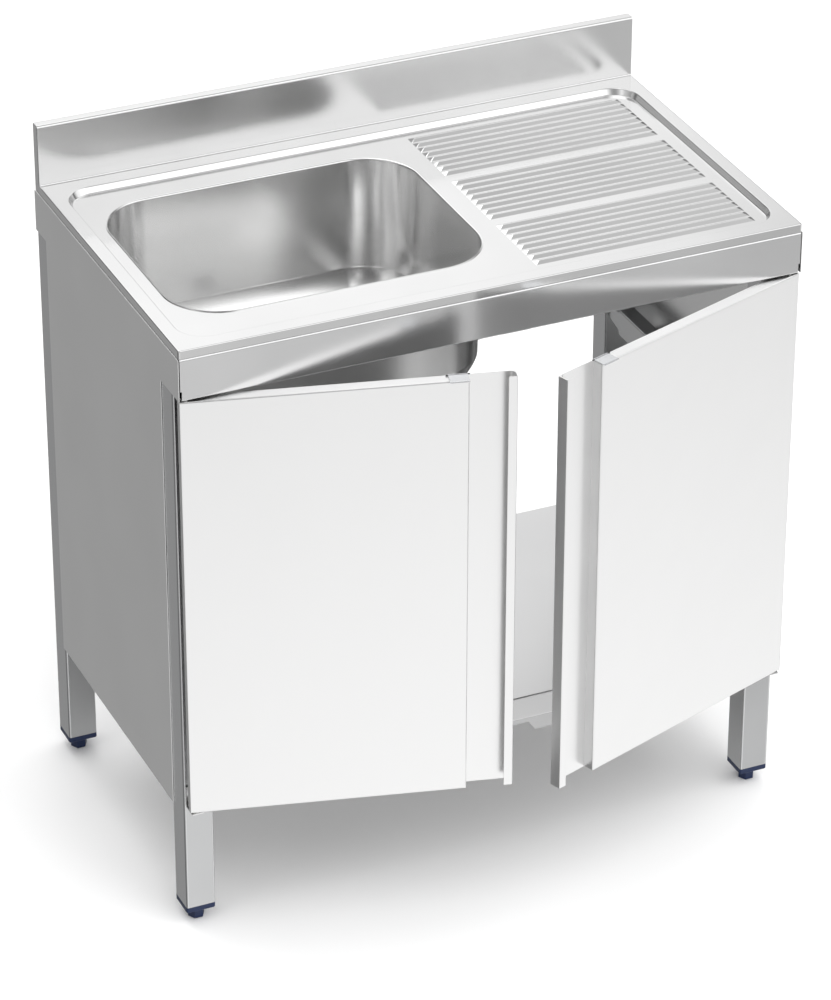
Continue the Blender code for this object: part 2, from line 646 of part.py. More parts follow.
def doors():
    """Each door is drawn closed about its pivot line, then turned to its rest angle."""
    front = -PIVOT_DEPTH
    back = DOOR_THICK - PIVOT_DEPTH
    edge = -PIVOT_EDGE
    well = back - SHEET
    wall = DOOR_REACH - SHEET
    skin = [(edge, back), (edge, front), (FACE_REACH, front), (FACE_REACH, well), (wall, well),
            (wall, front + SHEET), (DOOR_REACH - HANDLE_LIP, front + SHEET),
            (DOOR_REACH - HANDLE_LIP, front), (DOOR_REACH, front), (DOOR_REACH, back)]
    inside_x = (edge + SHEET, FACE_REACH - SHEET)
    inside_z = (DOOR_BOTTOM + SHEET, DOOR_TOP - SHEET)
    nose = front - CLIP_NOSE
    bend = [(back, CLIP_TOP), (nose, CLIP_TOP), (nose - CLIP_LIP, CLIP_TOP - CLIP_LIP / 2)]
    clip = folded(bend, CLIP_THICK)
    for name, side, angle in (("left", -1, -LEFT_AJAR), ("right", 1, RIGHT_AJAR)):
        pivot = side * PIVOT_X
        sheet = prism(mirrored(skin, -side), "Z", DOOR_BOTTOM, DOOR_TOP)
        panel = add_part(name + "_door_skin", sheet)
        hollow = sorted(-side * x for x in inside_x)
        cut(panel, block(hollow, (front + SHEET, back + DOOR_THICK), inside_z))
        cut(panel, rod(0.0, 0.0, PIN_RADIUS + PIN_CLEAR, (DOOR_BOTTOM - SHEET, DOOR_TOP + SHEET)))
        swing(panel, pivot, angle)

        cover_x = (hollow[0] + GAP, hollow[1] - GAP)
        cover_z = (inside_z[0] + GAP, inside_z[1] - GAP)
        swing(add_part(name + "_door_liner", block(cover_x, (well, back), cover_z)), pivot, angle)

        clip_x = sorted((-side * (FACE_REACH - CLIP_WIDTH), -side * FACE_REACH))
        swing(add_part(name + "_door_clip", prism(clip, "X", *clip_x)), pivot, angle)


def catches():
    """Magnets under the apron's fold, which hold the closed doors by their handle backs."""
    y = (FRONT + DOOR_THICK + MAGNET_CLEAR, FRONT_LEG - GAP)
    z = (APRON_BOTTOM - GAP - MAGNET_HEIGHT, APRON_BOTTOM - GAP)
    near = DOOR_CENTRE_GAP / 2 + MAGNET_SET_IN
    for name, side in (("left", -1), ("right", 1)):
        x = sorted((side * near, side * (near + MAGNET_LENGTH)))
        add_part(name + "_catch_magnet", block(x, y, z), BLACK, 0.0, 0.6)


worktop()
splash_caps()
drainer_stiffener()
sink_bowl()
waste()
aprons()
side_panels()
legs()
mid_rails()
shelf()
pivots()
doors()
catches()
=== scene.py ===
"""Looks of the stainless steel sink cabinet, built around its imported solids: folded and pressed
sheet with round bends, a drawn bowl, moulded feet, brushed finishes, a floor, light and a camera."""
import json
import math

import bmesh
import bpy
from mathutils import Matrix, Vector
from mathutils.geometry import delaunay_2d_cdt


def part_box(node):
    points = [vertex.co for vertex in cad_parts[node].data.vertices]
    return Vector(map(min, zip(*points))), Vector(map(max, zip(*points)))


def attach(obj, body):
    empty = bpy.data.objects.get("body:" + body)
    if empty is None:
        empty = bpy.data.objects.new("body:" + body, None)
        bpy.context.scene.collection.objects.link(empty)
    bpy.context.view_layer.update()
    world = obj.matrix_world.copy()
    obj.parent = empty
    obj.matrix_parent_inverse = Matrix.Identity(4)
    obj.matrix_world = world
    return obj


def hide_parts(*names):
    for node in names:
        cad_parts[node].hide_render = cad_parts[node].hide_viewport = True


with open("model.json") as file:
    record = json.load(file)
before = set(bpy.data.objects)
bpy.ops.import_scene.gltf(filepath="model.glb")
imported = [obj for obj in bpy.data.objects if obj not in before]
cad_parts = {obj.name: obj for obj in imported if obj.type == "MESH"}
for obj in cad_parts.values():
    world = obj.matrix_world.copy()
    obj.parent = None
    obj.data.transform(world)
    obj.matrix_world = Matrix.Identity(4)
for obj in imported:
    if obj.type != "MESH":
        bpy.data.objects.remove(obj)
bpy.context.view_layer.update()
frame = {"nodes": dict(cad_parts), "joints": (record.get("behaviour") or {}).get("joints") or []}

# Sheet, bends and edges, in metres, with angles in degrees
SHEET = 0.0012
DECK_SHEET = 0.0015
GAP = 0.0003
BEND = 0.0010
BEND_STEPS = 6
CUT_EDGE = 0.00025
PANEL_EDGE = 0.0004
MAGNET_EDGE = 0.0006
EDGE_STEPS = 2
SHARP = 40.0
ARC_STEPS = 10
ROUND_SIDES = 48
PIN_SIDES = 32
HEX_SIDES = 6

# Clean-up of the solids that stay in view
WELD_GAP = 0.00005
FLAT_ANGLE = 1.0
NORMAL_WEIGHT = 90
NORMAL_LIMIT = 1e-6

# Places taken from the solids
TOP_LOW, TOP_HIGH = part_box("worktop")
DECK_HALF = TOP_HIGH.x
LIP_FRONT = TOP_LOW.y
SPLASH_BACK = TOP_HIGH.y
SPLASH_TOP = TOP_HIGH.z
APRON_LOW, APRON_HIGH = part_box("front_apron")
FRONT = APRON_LOW.y
APRON_BOTTOM = APRON_LOW.z
APRON_TOP = APRON_HIGH.z
LIP_BOTTOM = APRON_TOP + GAP
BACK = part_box("rear_apron")[1].y
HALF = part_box("right_side_panel")[1].x
PIVOTS = {joint["child"]: Vector(joint["pos_m"]) for joint in frame["joints"]}
PIVOT_X = PIVOTS["right_door"].x
PIVOT_Y = PIVOTS["right_door"].y

# Worktop and splashback
LIP_HEIGHT = 0.012
HEIGHT = LIP_BOTTOM + LIP_HEIGHT
SPLASH_THICK = 0.017
SPLASH_FRONT = SPLASH_BACK - SPLASH_THICK
LIP_CORNER = 0.003
LIP_BEND = 0.0018
SPLASH_BEND = 0.0024
SPLASH_FOOT = 0.005
SPLASH_SINK = 0.00002
RECESS_DEPTH = 0.008
RECESS_FLOOR = HEIGHT - RECESS_DEPTH
RECESS_SLOPE = 0.007
RECESS_STEEP = 0.65
RECESS_SIDE = 0.021
RECESS_FRONT = 0.024
RECESS_REAR = 0.026
RECESS_HALF = HALF - RECESS_SIDE
RECESS_NEAR = FRONT + RECESS_FRONT
RECESS_FAR = SPLASH_FRONT - RECESS_REAR
RECESS_RADIUS = 0.040
RECESS_BEND = 0.0028

# Drainer ribs
RIB_GROUPS = 3
RIBS_IN_GROUP = 8
RIB_GROUP_GAP = 0.0193
RIB_FOOT = 0.0125
RIB_WIDTH = 0.0138
RIB_CREST = 0.0012
RIB_HEIGHT = 0.00285
RIB_HIP = 0.0071
RIB_LEFT = 0.0764
RIB_SIDE = 0.0464
RIB_FRONT = 0.049
RIB_REAR = 0.0498
RIB_RIGHT = HALF - RIB_SIDE
RIB_NEAR = FRONT + RIB_FRONT
RIB_FAR = SPLASH_FRONT - RIB_REAR
RIB_BEND = 0.0014
RIB_CORNER = 0.0012
RIB_CORNER_SHARE = 0.7
RIB_CORNER_STEPS = 2

# Flat margins beside the bends, which keep the shading of the large faces even, and the
# tolerance of the flat fills
MARGIN = 0.003
LIP_MARGIN = MARGIN / 3
RIB_MARGIN = 0.0004
FILL_TOLERANCE = 1e-7

# Bowl and waste
BOWL_LOW, BOWL_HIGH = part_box("sink_bowl")
BOWL_LENGTH = 0.4445
BOWL_WIDTH = 0.347
BOWL_X = (BOWL_LOW.x + BOWL_HIGH.x) / 2
BOWL_Y = (BOWL_LOW.y + BOWL_HIGH.y) / 2
BOWL_RADIUS = 0.078
BOWL_TIGHT = 0.010
BOWL_DEPTH = 0.222
BOWL_FLOOR = RECESS_FLOOR - BOWL_DEPTH
BOWL_DISH = 0.060
BOWL_SPREAD = 0.082
BOWL_CREASE = 0.0015
BOWL_DRAFT = 0.004
BOWL_ARC = 14
RIM_ROLL = 0.0018
RIM_STEPS = 7
FLOOR_RINGS = 6
BOWL_FALL = 0.004
WASTE_SEAT = BOWL_FLOOR - BOWL_FALL
SEAT_RADIUS = 0.044
SEAT_DISH = 0.0015
WASTE_BORE = 0.0215
WASTE_TUBE = 0.020
WASTE_WALL = 0.003
WASTE_FLANGE = 0.003
WASTE_THREAD = 0.0015
WASTE_TURNS = 16
WASTE_EASE = 0.001
WASTE_NECK = 0.002
WASTE_LIP = 0.0006
WASTE_SHOULDER = 0.0004
WASTE_CROWN = 0.003
WASTE_DISH = 0.004
WASTE_MOUTH = 0.0025
WASTE_CLEAR = 0.0004
WASTE_HOLE = WASTE_TUBE + WASTE_CLEAR
NUT_CHAMFER = 0.0025

# Aprons, panels, stiffener and shelf
STIFFENER_FLANGE = 0.015
APRON_FOLD = 0.010
SLOT_DEEP = 0.0022
SLOT_HIGH = 0.014
PANEL_FOLD = 0.015
PANEL_LAP = 0.0045
PANEL_TOP_INSET = 0.0103
SHELF_REAR_FOLD = 0.030
NOTCH_HALF = 0.070
NOTCH_SLANT = 0.010
NOTCH_RISE = 0.0145
RAIL_EDGE = 0.0042
RAIL_BEND = 0.0024

# Mid rails' tongues: two lengths, then shares of the rail's height and, for the plate, of the sheet
TONGUE = 0.036
TONGUE_LAP = 0.008
TONGUE_TIP = (0.36, 0.72)
TONGUE_ROOT = (0.16, 0.90)
TONGUE_PLATE = (0.98, 1.9)

# Legs, caps and feet
LEG_RADIUS = 0.003
LEG_WALL = 0.0015
LEG_STEPS = 6
CAP_CHAMFER = 0.0012
CAP_EDGE = 0.0004
CAP_TIGHTEN = 0.002
CAP_BORE = 0.0054
CAP_CUT_BELOW = 0.01
CAP_CUT_ABOVE = 0.04
PLUG_SHOULDER = 0.018
PLUG_END = 0.020
PLUG_TAPER = 0.002
FOOT_RADIUS = 0.012
FOOT_CHAMFER = 0.0022
FOOT_SOLE = 0.0012
FOOT_EASE = 0.0004
FOOT_SHOULDER = 0.0016
STUD_SINK = 0.004
STUD_CREST = 0.005
STUD_ROOT = 0.0043
STUD_PITCH = 0.002
STUD_POINT = 0.0015
STUD_SIDES = 24

# Pivot brackets, pins and washers
BRACKET_THICK = 0.0022
BRACKET_RISE = 0.030
PIN_RADIUS = 0.003
PIN_FOOT = 0.0006
PIN_TIP = 0.0008
PIN_HEAD = 0.003
PIN_CROWN = 0.001
WASHER_LIP = 0.0003

# Doors, drawn closed about their pivot line
DOOR_FRONT = -0.00875
DOOR_BACK = 0.00875
DOOR_EDGE = -0.010
DOOR_BOTTOM = 0.1993
DOOR_TOP = 0.8253
DOOR_REACH = 0.4275
FACE_REACH = 0.3645
DOOR_BEND = 0.0018
HANDLE_LIP = 0.012
HANDLE_BEND = 0.0070
PIN_BORE = 0.0033
CLIP_TOP = 0.8265
CLIP_THICK = 0.0009
CLIP_WIDTH = 0.026
CLIP_NOSE = 0.0032
CLIP_LIP = 0.0018
CLIP_PIN = 0.0008
CLIP_PIN_INSET = 0.0022
CLIP_PIN_SINK = 0.0002
CLIP_PIN_END = 0.0026
CLIP_PIN_SHARE = 0.6
CLIP_PIN_SIDES = 16
FACES_BACK = 0.9
ROUND_PROFILE = 0.5
DOOR_TURN = {"left": math.radians(-14.4), "right": math.radians(19.5)}
SIDES = {"left": -1, "right": 1}
CORNERS = ("front_left", "front_right", "rear_left", "rear_right")


# Finishes

NOISE_SPREAD = 0.22
RAMP_ENDS = (0.3, 0.7)
MARK_DETAIL = 3.0
DRIFT_DETAIL = 2.0
STEEL_DRIFT = (7.0, 7.0, 7.0)
STEEL_SHADE = 0.95
STEEL_UNEVEN = 0.02
MOULD_GRAIN = (900.0, 900.0, 900.0)
MOULD_DRIFT = (60.0, 60.0, 60.0)
MOULD_SHADE = 0.85
MOULD_UNEVEN = 0.06
MOULD_DEPTH = 0.00003


def start_material(name, metallic):
    mat = bpy.data.materials.new(name)
    mat.use_nodes = True
    shader = mat.node_tree.nodes["Principled BSDF"]
    shader.inputs["Metallic"].default_value = metallic
    return mat, mat.node_tree, shader


def noise(tree, scale, detail):
    """Noise in the piece's own coordinates, with its own scale along each axis."""
    coords = tree.nodes.new("ShaderNodeTexCoord")
    mapping = tree.nodes.new("ShaderNodeMapping")
    mapping.inputs["Scale"].default_value = scale
    texture = tree.nodes.new("ShaderNodeTexNoise")
    texture.inputs["Scale"].default_value = 1.0
    texture.inputs["Detail"].default_value = detail
    tree.links.new(coords.outputs["Object"], mapping.inputs["Vector"])
    tree.links.new(mapping.outputs["Vector"], texture.inputs["Vector"])
    return texture.outputs["Fac"]


def between(tree, factor, low, high):
    """A value that follows a noise from low to high."""
    node = tree.nodes.new("ShaderNodeMapRange")
    node.inputs["From Min"].default_value = 0.5 - NOISE_SPREAD
    node.inputs["From Max"].default_value = 0.5 + NOISE_SPREAD
    node.inputs["To Min"].default_value = low
    node.inputs["To Max"].default_value = high
    tree.links.new(factor, node.inputs["Value"])
    return node.outputs["Result"]


def total(tree, first, second):
    node = tree.nodes.new("ShaderNodeMath")
    node.operation = "ADD"
    tree.links.new(first, node.inputs[0])
    tree.links.new(second, node.inputs[1])
    return node.outputs["Value"]


def blend_colours(tree, factor, dark, light):
    node = tree.nodes.new("ShaderNodeValToRGB")
    for element, place, tint in zip(node.color_ramp.elements, RAMP_ENDS, (dark, light)):
        element.position = place
        element.color = (*tint, 1.0)
    tree.links.new(factor, node.inputs["Fac"])
    return node.outputs["Color"]


def raise_bumps(tree, shader, height, depth):
    node = tree.nodes.new("ShaderNodeBump")
    node.inputs["Strength"].default_value = 1.0
    node.inputs["Distance"].default_value = depth
    tree.links.new(height, node.inputs["Height"])
    tree.links.new(node.outputs["Normal"], shader.inputs["Normal"])


def steel(name, tint, rough, brush, depth, spread):
    """Stainless sheet: brush marks, a slow drift of tone and an uneven sheen."""
    mat, tree, shader = start_material(name, 1.0)
    marks = noise(tree, brush, MARK_DETAIL)
    drift = noise(tree, STEEL_DRIFT, DRIFT_DETAIL)
    dark = [value * STEEL_SHADE for value in tint]
    colour = blend_colours(tree, drift, dark, tint)
    tree.links.new(colour, shader.inputs["Base Color"])
    sheen = total(tree, between(tree, marks, rough - spread, rough + spread),
                  between(tree, drift, -STEEL_UNEVEN, STEEL_UNEVEN))
    tree.links.new(sheen, shader.inputs["Roughness"])
    raise_bumps(tree, shader, marks, depth)
    return mat


def moulded(name, tint, rough):
    """Plastic or rubber with a fine moulded texture."""
    mat, tree, shader = start_material(name, 0.0)
    texture = noise(tree, MOULD_GRAIN, DRIFT_DETAIL)
    drift = noise(tree, MOULD_DRIFT, DRIFT_DETAIL)
    dark = [value * MOULD_SHADE for value in tint]
    tree.links.new(blend_colours(tree, drift, dark, tint), shader.inputs["Base Color"])
    sheen = between(tree, texture, rough - MOULD_UNEVEN, rough + MOULD_UNEVEN)
    tree.links.new(sheen, shader.inputs["Roughness"])
    raise_bumps(tree, shader, texture, MOULD_DEPTH)
    return mat


ALONG_X = (16.0, 2600.0, 2600.0)
ALONG_Z = (2600.0, 2600.0, 16.0)
SATIN = (900.0, 900.0, 900.0)

# Steel finishes: tint, roughness, brush marks, their depth in metres, spread of the roughness
STEELS = {
    "worktop_steel": ((0.80, 0.80, 0.80), 0.21, ALONG_X, 0.0000005, 0.012),
    "deck_steel": ((0.80, 0.80, 0.80), 0.13, ALONG_X, 0.0000005, 0.012),
    "bowl_steel": ((0.85, 0.85, 0.848), 0.225, SATIN, 0.000001, 0.02),
    "panel_steel": ((0.80, 0.80, 0.803), 0.22, ALONG_X, 0.0000005, 0.012),
    "side_steel": ((0.92, 0.92, 0.918), 0.24, ALONG_Z, 0.0000005, 0.012),
    # The shelf's tint is set darker than the other sheet: painted shade for its place low inside the
    # cabinet
    "shelf_steel_painted_shade": ((0.68, 0.68, 0.682), 0.32, ALONG_X, 0.0000005, 0.012),
    "door_steel": ((0.94, 0.94, 0.938), 0.31, ALONG_Z, 0.0000003, 0.006),
    "frame_steel": ((0.69, 0.695, 0.70), 0.235, ALONG_Z, 0.0000005, 0.012),
    "polished_steel": ((0.88, 0.88, 0.88), 0.14, SATIN, 0.000001, 0.03),
    "clip_steel": ((0.76, 0.77, 0.785), 0.20, SATIN, 0.000001, 0.02),
}

# Plastic and rubber finishes: tint and roughness
PLASTICS = {
    "navy_plastic": ((0.0055, 0.0155, 0.058), 0.42),
    "black_plastic": ((0.016, 0.016, 0.017), 0.50),
    "black_rubber": ((0.014, 0.014, 0.014), 0.72),
    "white_nylon": ((0.80, 0.80, 0.77), 0.45),
}

MATERIALS = {name: steel(name, *values) for name, values in STEELS.items()}
MATERIALS.update({name: moulded(name, *values) for name, values in PLASTICS.items()})


# Shapes

def left_of(direction):
    return Vector((-direction.y, direction.x))


def bent(path, thick, *radii):
    """The outline of a folded strip: a path with round bends, thickened to its left. The last
    radius given holds for the bends that follow."""
    points = [Vector(point) for point in path]
    radii = list(radii) or [BEND]
    radii += radii[-1:] * len(points)
    first = (points[1] - points[0]).normalized()
    last = (points[-1] - points[-2]).normalized()
    near = [points[0]]
    far = [points[0] + left_of(first) * thick]
    for before, corner, after, radius in zip(points, points[1:], points[2:], radii):
        into = (corner - before).normalized()
        out = (after - corner).normalized()
        angle = math.atan2(into.cross(out), into.dot(out))
        side = math.copysign(1.0, angle)
        reach = radius + abs(thick) if side * thick > 0 else radius
        centre = corner - into * reach * math.tan(abs(angle) / 2) + left_of(into) * side * reach
        for step in range(BEND_STEPS + 1):
            spoke = Matrix.Rotation(angle * step / BEND_STEPS, 2) @ (left_of(into) * -side)
            near.append(centre + spoke * reach)
            far.append(centre + spoke * (reach - side * thick))
    near.append(points[-1])
    far.append(points[-1] + left_of(last) * thick)
    return [tuple(point) for point in near + far[::-1]]


def eased(path, radius):
    """A path with its inner corners rounded and its two ends left out."""
    points = [Vector(point) for point in path]
    result = []
    for before, corner, after in zip(points, points[1:], points[2:]):
        into = (corner - before).normalized()
        out = (after - corner).normalized()
        angle = math.atan2(into.cross(out), into.dot(out))
        side = math.copysign(1.0, angle)
        centre = corner - into * radius * math.tan(abs(angle) / 2) + left_of(into) * side * radius
        for step in range(BEND_STEPS + 1):
            spoke = Matrix.Rotation(angle * step / BEND_STEPS, 2) @ (left_of(into) * -side)
            result.append(tuple(centre + spoke * radius))
    return result


def mirrored(outline, side):
    """An outline drawn for the right side, or its mirror image for the left."""
    if side > 0:
        return outline
    return [(-a, b) for a, b in reversed(outline)]


def rounded(x, y, half_x, half_y, radius, steps=ARC_STEPS):
    """A rectangle with round corners, anticlockwise."""
    points = []
    for corner, (sx, sy) in enumerate(((1, 1), (-1, 1), (-1, -1), (1, -1))):
        for step in range(steps + 1):
            turn = (corner + step / steps) * math.pi / 2
            points.append((x + sx * (half_x - radius) + radius * math.cos(turn),
                           y + sy * (half_y - radius) + radius * math.sin(turn)))
    return points


def circle(x, y, radius, count):
    angles = [2 * math.pi * i / count for i in range(count)]
    return [(x + radius * math.cos(a), y + radius * math.sin(a)) for a in angles]


def at(axis, along, a, b):
    """The point at a distance along an axis, with the other two coordinates in X, Y, Z order."""
    if axis == "X":
        return Vector((along, a, b))
    if axis == "Y":
        return Vector((a, along, b))
    return Vector((a, b, along))


def prism(outline, axis, start, stop, bm=None):
    """A closed outline pushed out along an axis."""
    bm = bm or bmesh.new()
    ends = [[bm.verts.new(at(axis, along, a, b)) for a, b in outline] for along in (start, stop)]
    sides = band(bm, ends[0], ends[1], True)
    caps = [bm.faces.new(ends[0][::-1]), bm.faces.new(ends[1])]
    bmesh.ops.recalc_face_normals(bm, faces=sides + caps)
    return bm


def band(bm, lower, upper, closed):
    """Faces between two rows of points."""
    count = len(lower) if closed else len(lower) - 1
    faces = []
    for i in range(count):
        j = (i + 1) % len(lower)
        faces.append(bm.faces.new((lower[i], lower[j], upper[j], upper[i])))
    return faces


def block(x, y, z, bm=None):
    """A box between two values on each axis."""
    return prism([(x[0], y[0]), (x[1], y[0]), (x[1], y[1]), (x[0], y[1])], "Z", *z, bm=bm)


def skin(rings, closed=True, bm=None):
    """A surface through level outlines, each a height and its points, from the bottom up."""
    bm = bm or bmesh.new()
    rows = [[bm.verts.new((a, b, z)) for a, b in points] for z, points in rings]
    faces = []
    for lower, upper in zip(rows, rows[1:]):
        faces += band(bm, lower, upper, True)
    if closed:
        faces += [bm.faces.new(rows[0][::-1]), bm.faces.new(rows[-1])]
    bmesh.ops.recalc_face_normals(bm, faces=faces)
    return bm


def turned(x, y, profile, sides=ROUND_SIDES, bm=None):
    """A solid turned about an upright axis from pairs of radius and height."""
    return skin([(z, circle(x, y, radius, sides)) for radius, z in profile], bm=bm)


def ring_of(x, y, profile):
    """A turned body with a hole: its profile is a closed loop of radius and height."""
    bm = bmesh.new()
    rows = [[bm.verts.new((a, b, z)) for a, b in circle(x, y, radius, ROUND_SIDES)]
            for radius, z in profile]
    for lower, upper in zip(rows, rows[1:] + rows[:1]):
        band(bm, lower, upper, True)
    bmesh.ops.recalc_face_normals(bm, faces=bm.faces)
    return bm


def rod(x, y, radius, z):
    return turned(x, y, ((radius, z[0]), (radius, z[1])))


def scratch(bm):
    mesh = bpy.data.meshes.new("scratch")
    bm.to_mesh(mesh)
    bm.free()
    obj = bpy.data.objects.new("scratch", mesh)
    bpy.context.scene.collection.objects.link(obj)
    return obj


def drop(obj):
    mesh = obj.data
    bpy.data.objects.remove(obj)
    bpy.data.meshes.remove(mesh)


def settled(obj):
    """The shape of an object after its modifiers, which replaces the object."""
    result = bmesh.new()
    result.from_object(obj, bpy.context.evaluated_depsgraph_get())
    drop(obj)
    return result


def carved(bm, *cutters):
    """A solid with other solids taken out of it."""
    obj = scratch(bm)
    tools = [scratch(cutter) for cutter in cutters]
    for tool in tools:
        mod = obj.modifiers.new("cut", "BOOLEAN")
        mod.operation = "DIFFERENCE"
        mod.solver = "EXACT"
        mod.object = tool
    result = settled(obj)
    for tool in tools:
        drop(tool)
    return result


def thickened(bm, thick, offset):
    """A surface made into sheet of one thickness."""
    obj = scratch(bm)
    mod = obj.modifiers.new("sheet", "SOLIDIFY")
    mod.thickness = thick
    mod.offset = offset
    mod.use_even_offset = True
    return settled(obj)


def soften(obj, width):
    """Rounds the sharp edges of an object a little."""
    bevel = obj.modifiers.new("edges", "BEVEL")
    bevel.width = width
    bevel.segments = EDGE_STEPS
    bevel.limit_method = "ANGLE"
    bevel.angle_limit = math.radians(SHARP)


def even_shading(mesh):
    """Shades each corner by the faces around it that nearly lie in line, the large ones most."""
    limit = math.cos(math.radians(SHARP))
    faces = mesh.polygons
    around = [[] for _ in mesh.vertices]
    for face in faces:
        for vertex in face.vertices:
            around[vertex].append(face.index)
    normals = []
    for face in faces:
        for vertex in face.vertices:
            blend = Vector()
            for other in around[vertex]:
                if faces[other].normal.dot(face.normal) > limit:
                    blend += faces[other].normal * faces[other].area ** 2
            normals.append(blend.normalized() if blend.length > 0 else face.normal)
    mesh.shade_smooth()
    mesh.normals_split_custom_set(normals)


def add_piece(name, bm, finish, nodes, body="cabinet", place=None, edge=CUT_EDGE):
    """A piece of the visual model that stands for CAD nodes and rides on a body."""
    if edge > 0:
        obj = scratch(bm)
        soften(obj, edge)
        bm = settled(obj)
    mesh = bpy.data.meshes.new(name)
    bm.to_mesh(mesh)
    bm.free()
    even_shading(mesh)
    mesh.materials.append(MATERIALS[finish])
    obj = bpy.data.objects.new(name, mesh)
    bpy.context.scene.collection.objects.link(obj)
    if place is not None:
        obj.matrix_world = place
    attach(obj, body)
    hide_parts(*nodes)


def dress(node, finish, edge=CUT_EDGE):
    """A CAD node that stays in view, with a better finish and softened edges."""
    obj = frame["nodes"][node]
    obj.data.materials.clear()
    obj.data.materials.append(MATERIALS[finish])
    weld = obj.modifiers.new("weld", "WELD")
    weld.merge_threshold = WELD_GAP
    flat = obj.modifiers.new("flat", "DECIMATE")
    flat.decimate_type = "DISSOLVE"
    flat.angle_limit = math.radians(FLAT_ANGLE)
    soften(obj, edge)
    normals = obj.modifiers.new("shading", "WEIGHTED_NORMAL")
    normals.weight = NORMAL_WEIGHT
    normals.thresh = NORMAL_LIMIT


# Worktop, splashback and bowl

def lip_row(inset, height):
    """The worktop's outline around the left, front and right, at an inset from the lip."""
    half = DECK_HALF - inset
    near = LIP_FRONT + inset
    radius = LIP_CORNER - inset
    rear = SPLASH_BACK - DECK_SHEET - GAP
    points = [(-half, rear)]
    for sx, start in ((-1, math.pi), (1, 1.5 * math.pi)):
        for step in range(BEND_STEPS + 1):
            turn = start + math.pi / 2 * step / BEND_STEPS
            points.append((sx * (half - radius) + radius * math.cos(turn),
                           near + radius + radius * math.sin(turn)))
    points.append((half, rear))
    return [(a, b, height) for a, b in points]


def recess_ring(offset):
    """An outline of the sunk area, whose wall is steeper at the front and the ends."""
    steep = offset * RECESS_STEEP
    near = RECESS_NEAR - steep
    far = RECESS_FAR + offset
    return rounded(0.0, (near + far) / 2, RECESS_HALF + steep, (far - near) / 2,
                   RECESS_RADIUS + steep)


def bowl_ring(offset):
    return rounded(BOWL_X, BOWL_Y, BOWL_LENGTH / 2 + offset, BOWL_WIDTH / 2 + offset,
                   max(BOWL_RADIUS + offset, BOWL_TIGHT), BOWL_ARC)


def rows_of(bm, outlines):
    return [[bm.verts.new(point) for point in outline] for outline in outlines]


def level(points, height):
    return [(a, b, height) for a, b in points]


def encloses(loop, point):
    """Whether a level loop runs around a point, by counting the sides to its right."""
    within = False
    for a, b in zip(loop, loop[1:] + loop[:1]):
        if (a.y > point.y) != (b.y > point.y):
            if point.x < a.x + (point.y - a.y) * (b.x - a.x) / (b.y - a.y):
                within = not within
    return within


def fill_between(bm, *loops):
    """Flat faces between a level loop and the loops that lie inside it."""
    verts = [vert for loop in loops for vert in loop]
    flat = [vert.co.xy for vert in verts]
    outlines = [[vert.co.xy for vert in loop] for loop in loops]
    edges = []
    start = 0
    for loop in loops:
        count = len(loop)
        edges += [(start + i, start + (i + 1) % count) for i in range(count)]
        start += count
    faces, origins = delaunay_2d_cdt(flat, edges, [], 0, FILL_TOLERANCE)[2:4]
    for face in faces:
        corners = [origins[i][0] for i in face]
        middle = (flat[corners[0]] + flat[corners[1]] + flat[corners[2]]) / 3
        if sum(encloses(outline, middle) for outline in outlines) == 1:
            bm.faces.new([verts[i] for i in corners])


def rib_rows(bm, x, y):
    """One drainer rib with a soft foot and crest; its lowest row lies in the floor."""
    slope = (RIB_WIDTH - RIB_CREST) / 2
    half_y = RIB_WIDTH / 2
    half_x = (RIB_RIGHT - RIB_LEFT) / 2
    path = eased([(-slope, 0.0), (0.0, 0.0), (slope, RIB_HEIGHT), (2 * slope, RIB_HEIGHT)], RIB_BEND)
    path = [(path[0][0] - RIB_MARGIN, 0.0), *path]
    outlines = []
    for inset, height in path:
        wide = half_y - inset
        long = half_x - inset * RIB_HIP / slope
        corner = min(RIB_CORNER, wide * RIB_CORNER_SHARE)
        ring = rounded(x, y, long, wide, corner, RIB_CORNER_STEPS)
        outlines.append(level(ring, RECESS_FLOOR + height))
    return rows_of(bm, outlines)


def rib_places():
    group = (RIB_FAR - RIB_NEAR - (RIB_GROUPS - 1) * RIB_GROUP_GAP) / RIB_GROUPS
    step = (group - RIB_FOOT) / (RIBS_IN_GROUP - 1)
    for number in range(RIB_GROUPS):
        near = RIB_NEAR + number * (group + RIB_GROUP_GAP) + RIB_FOOT / 2
        for rib in range(RIBS_IN_GROUP):
            yield near + rib * step


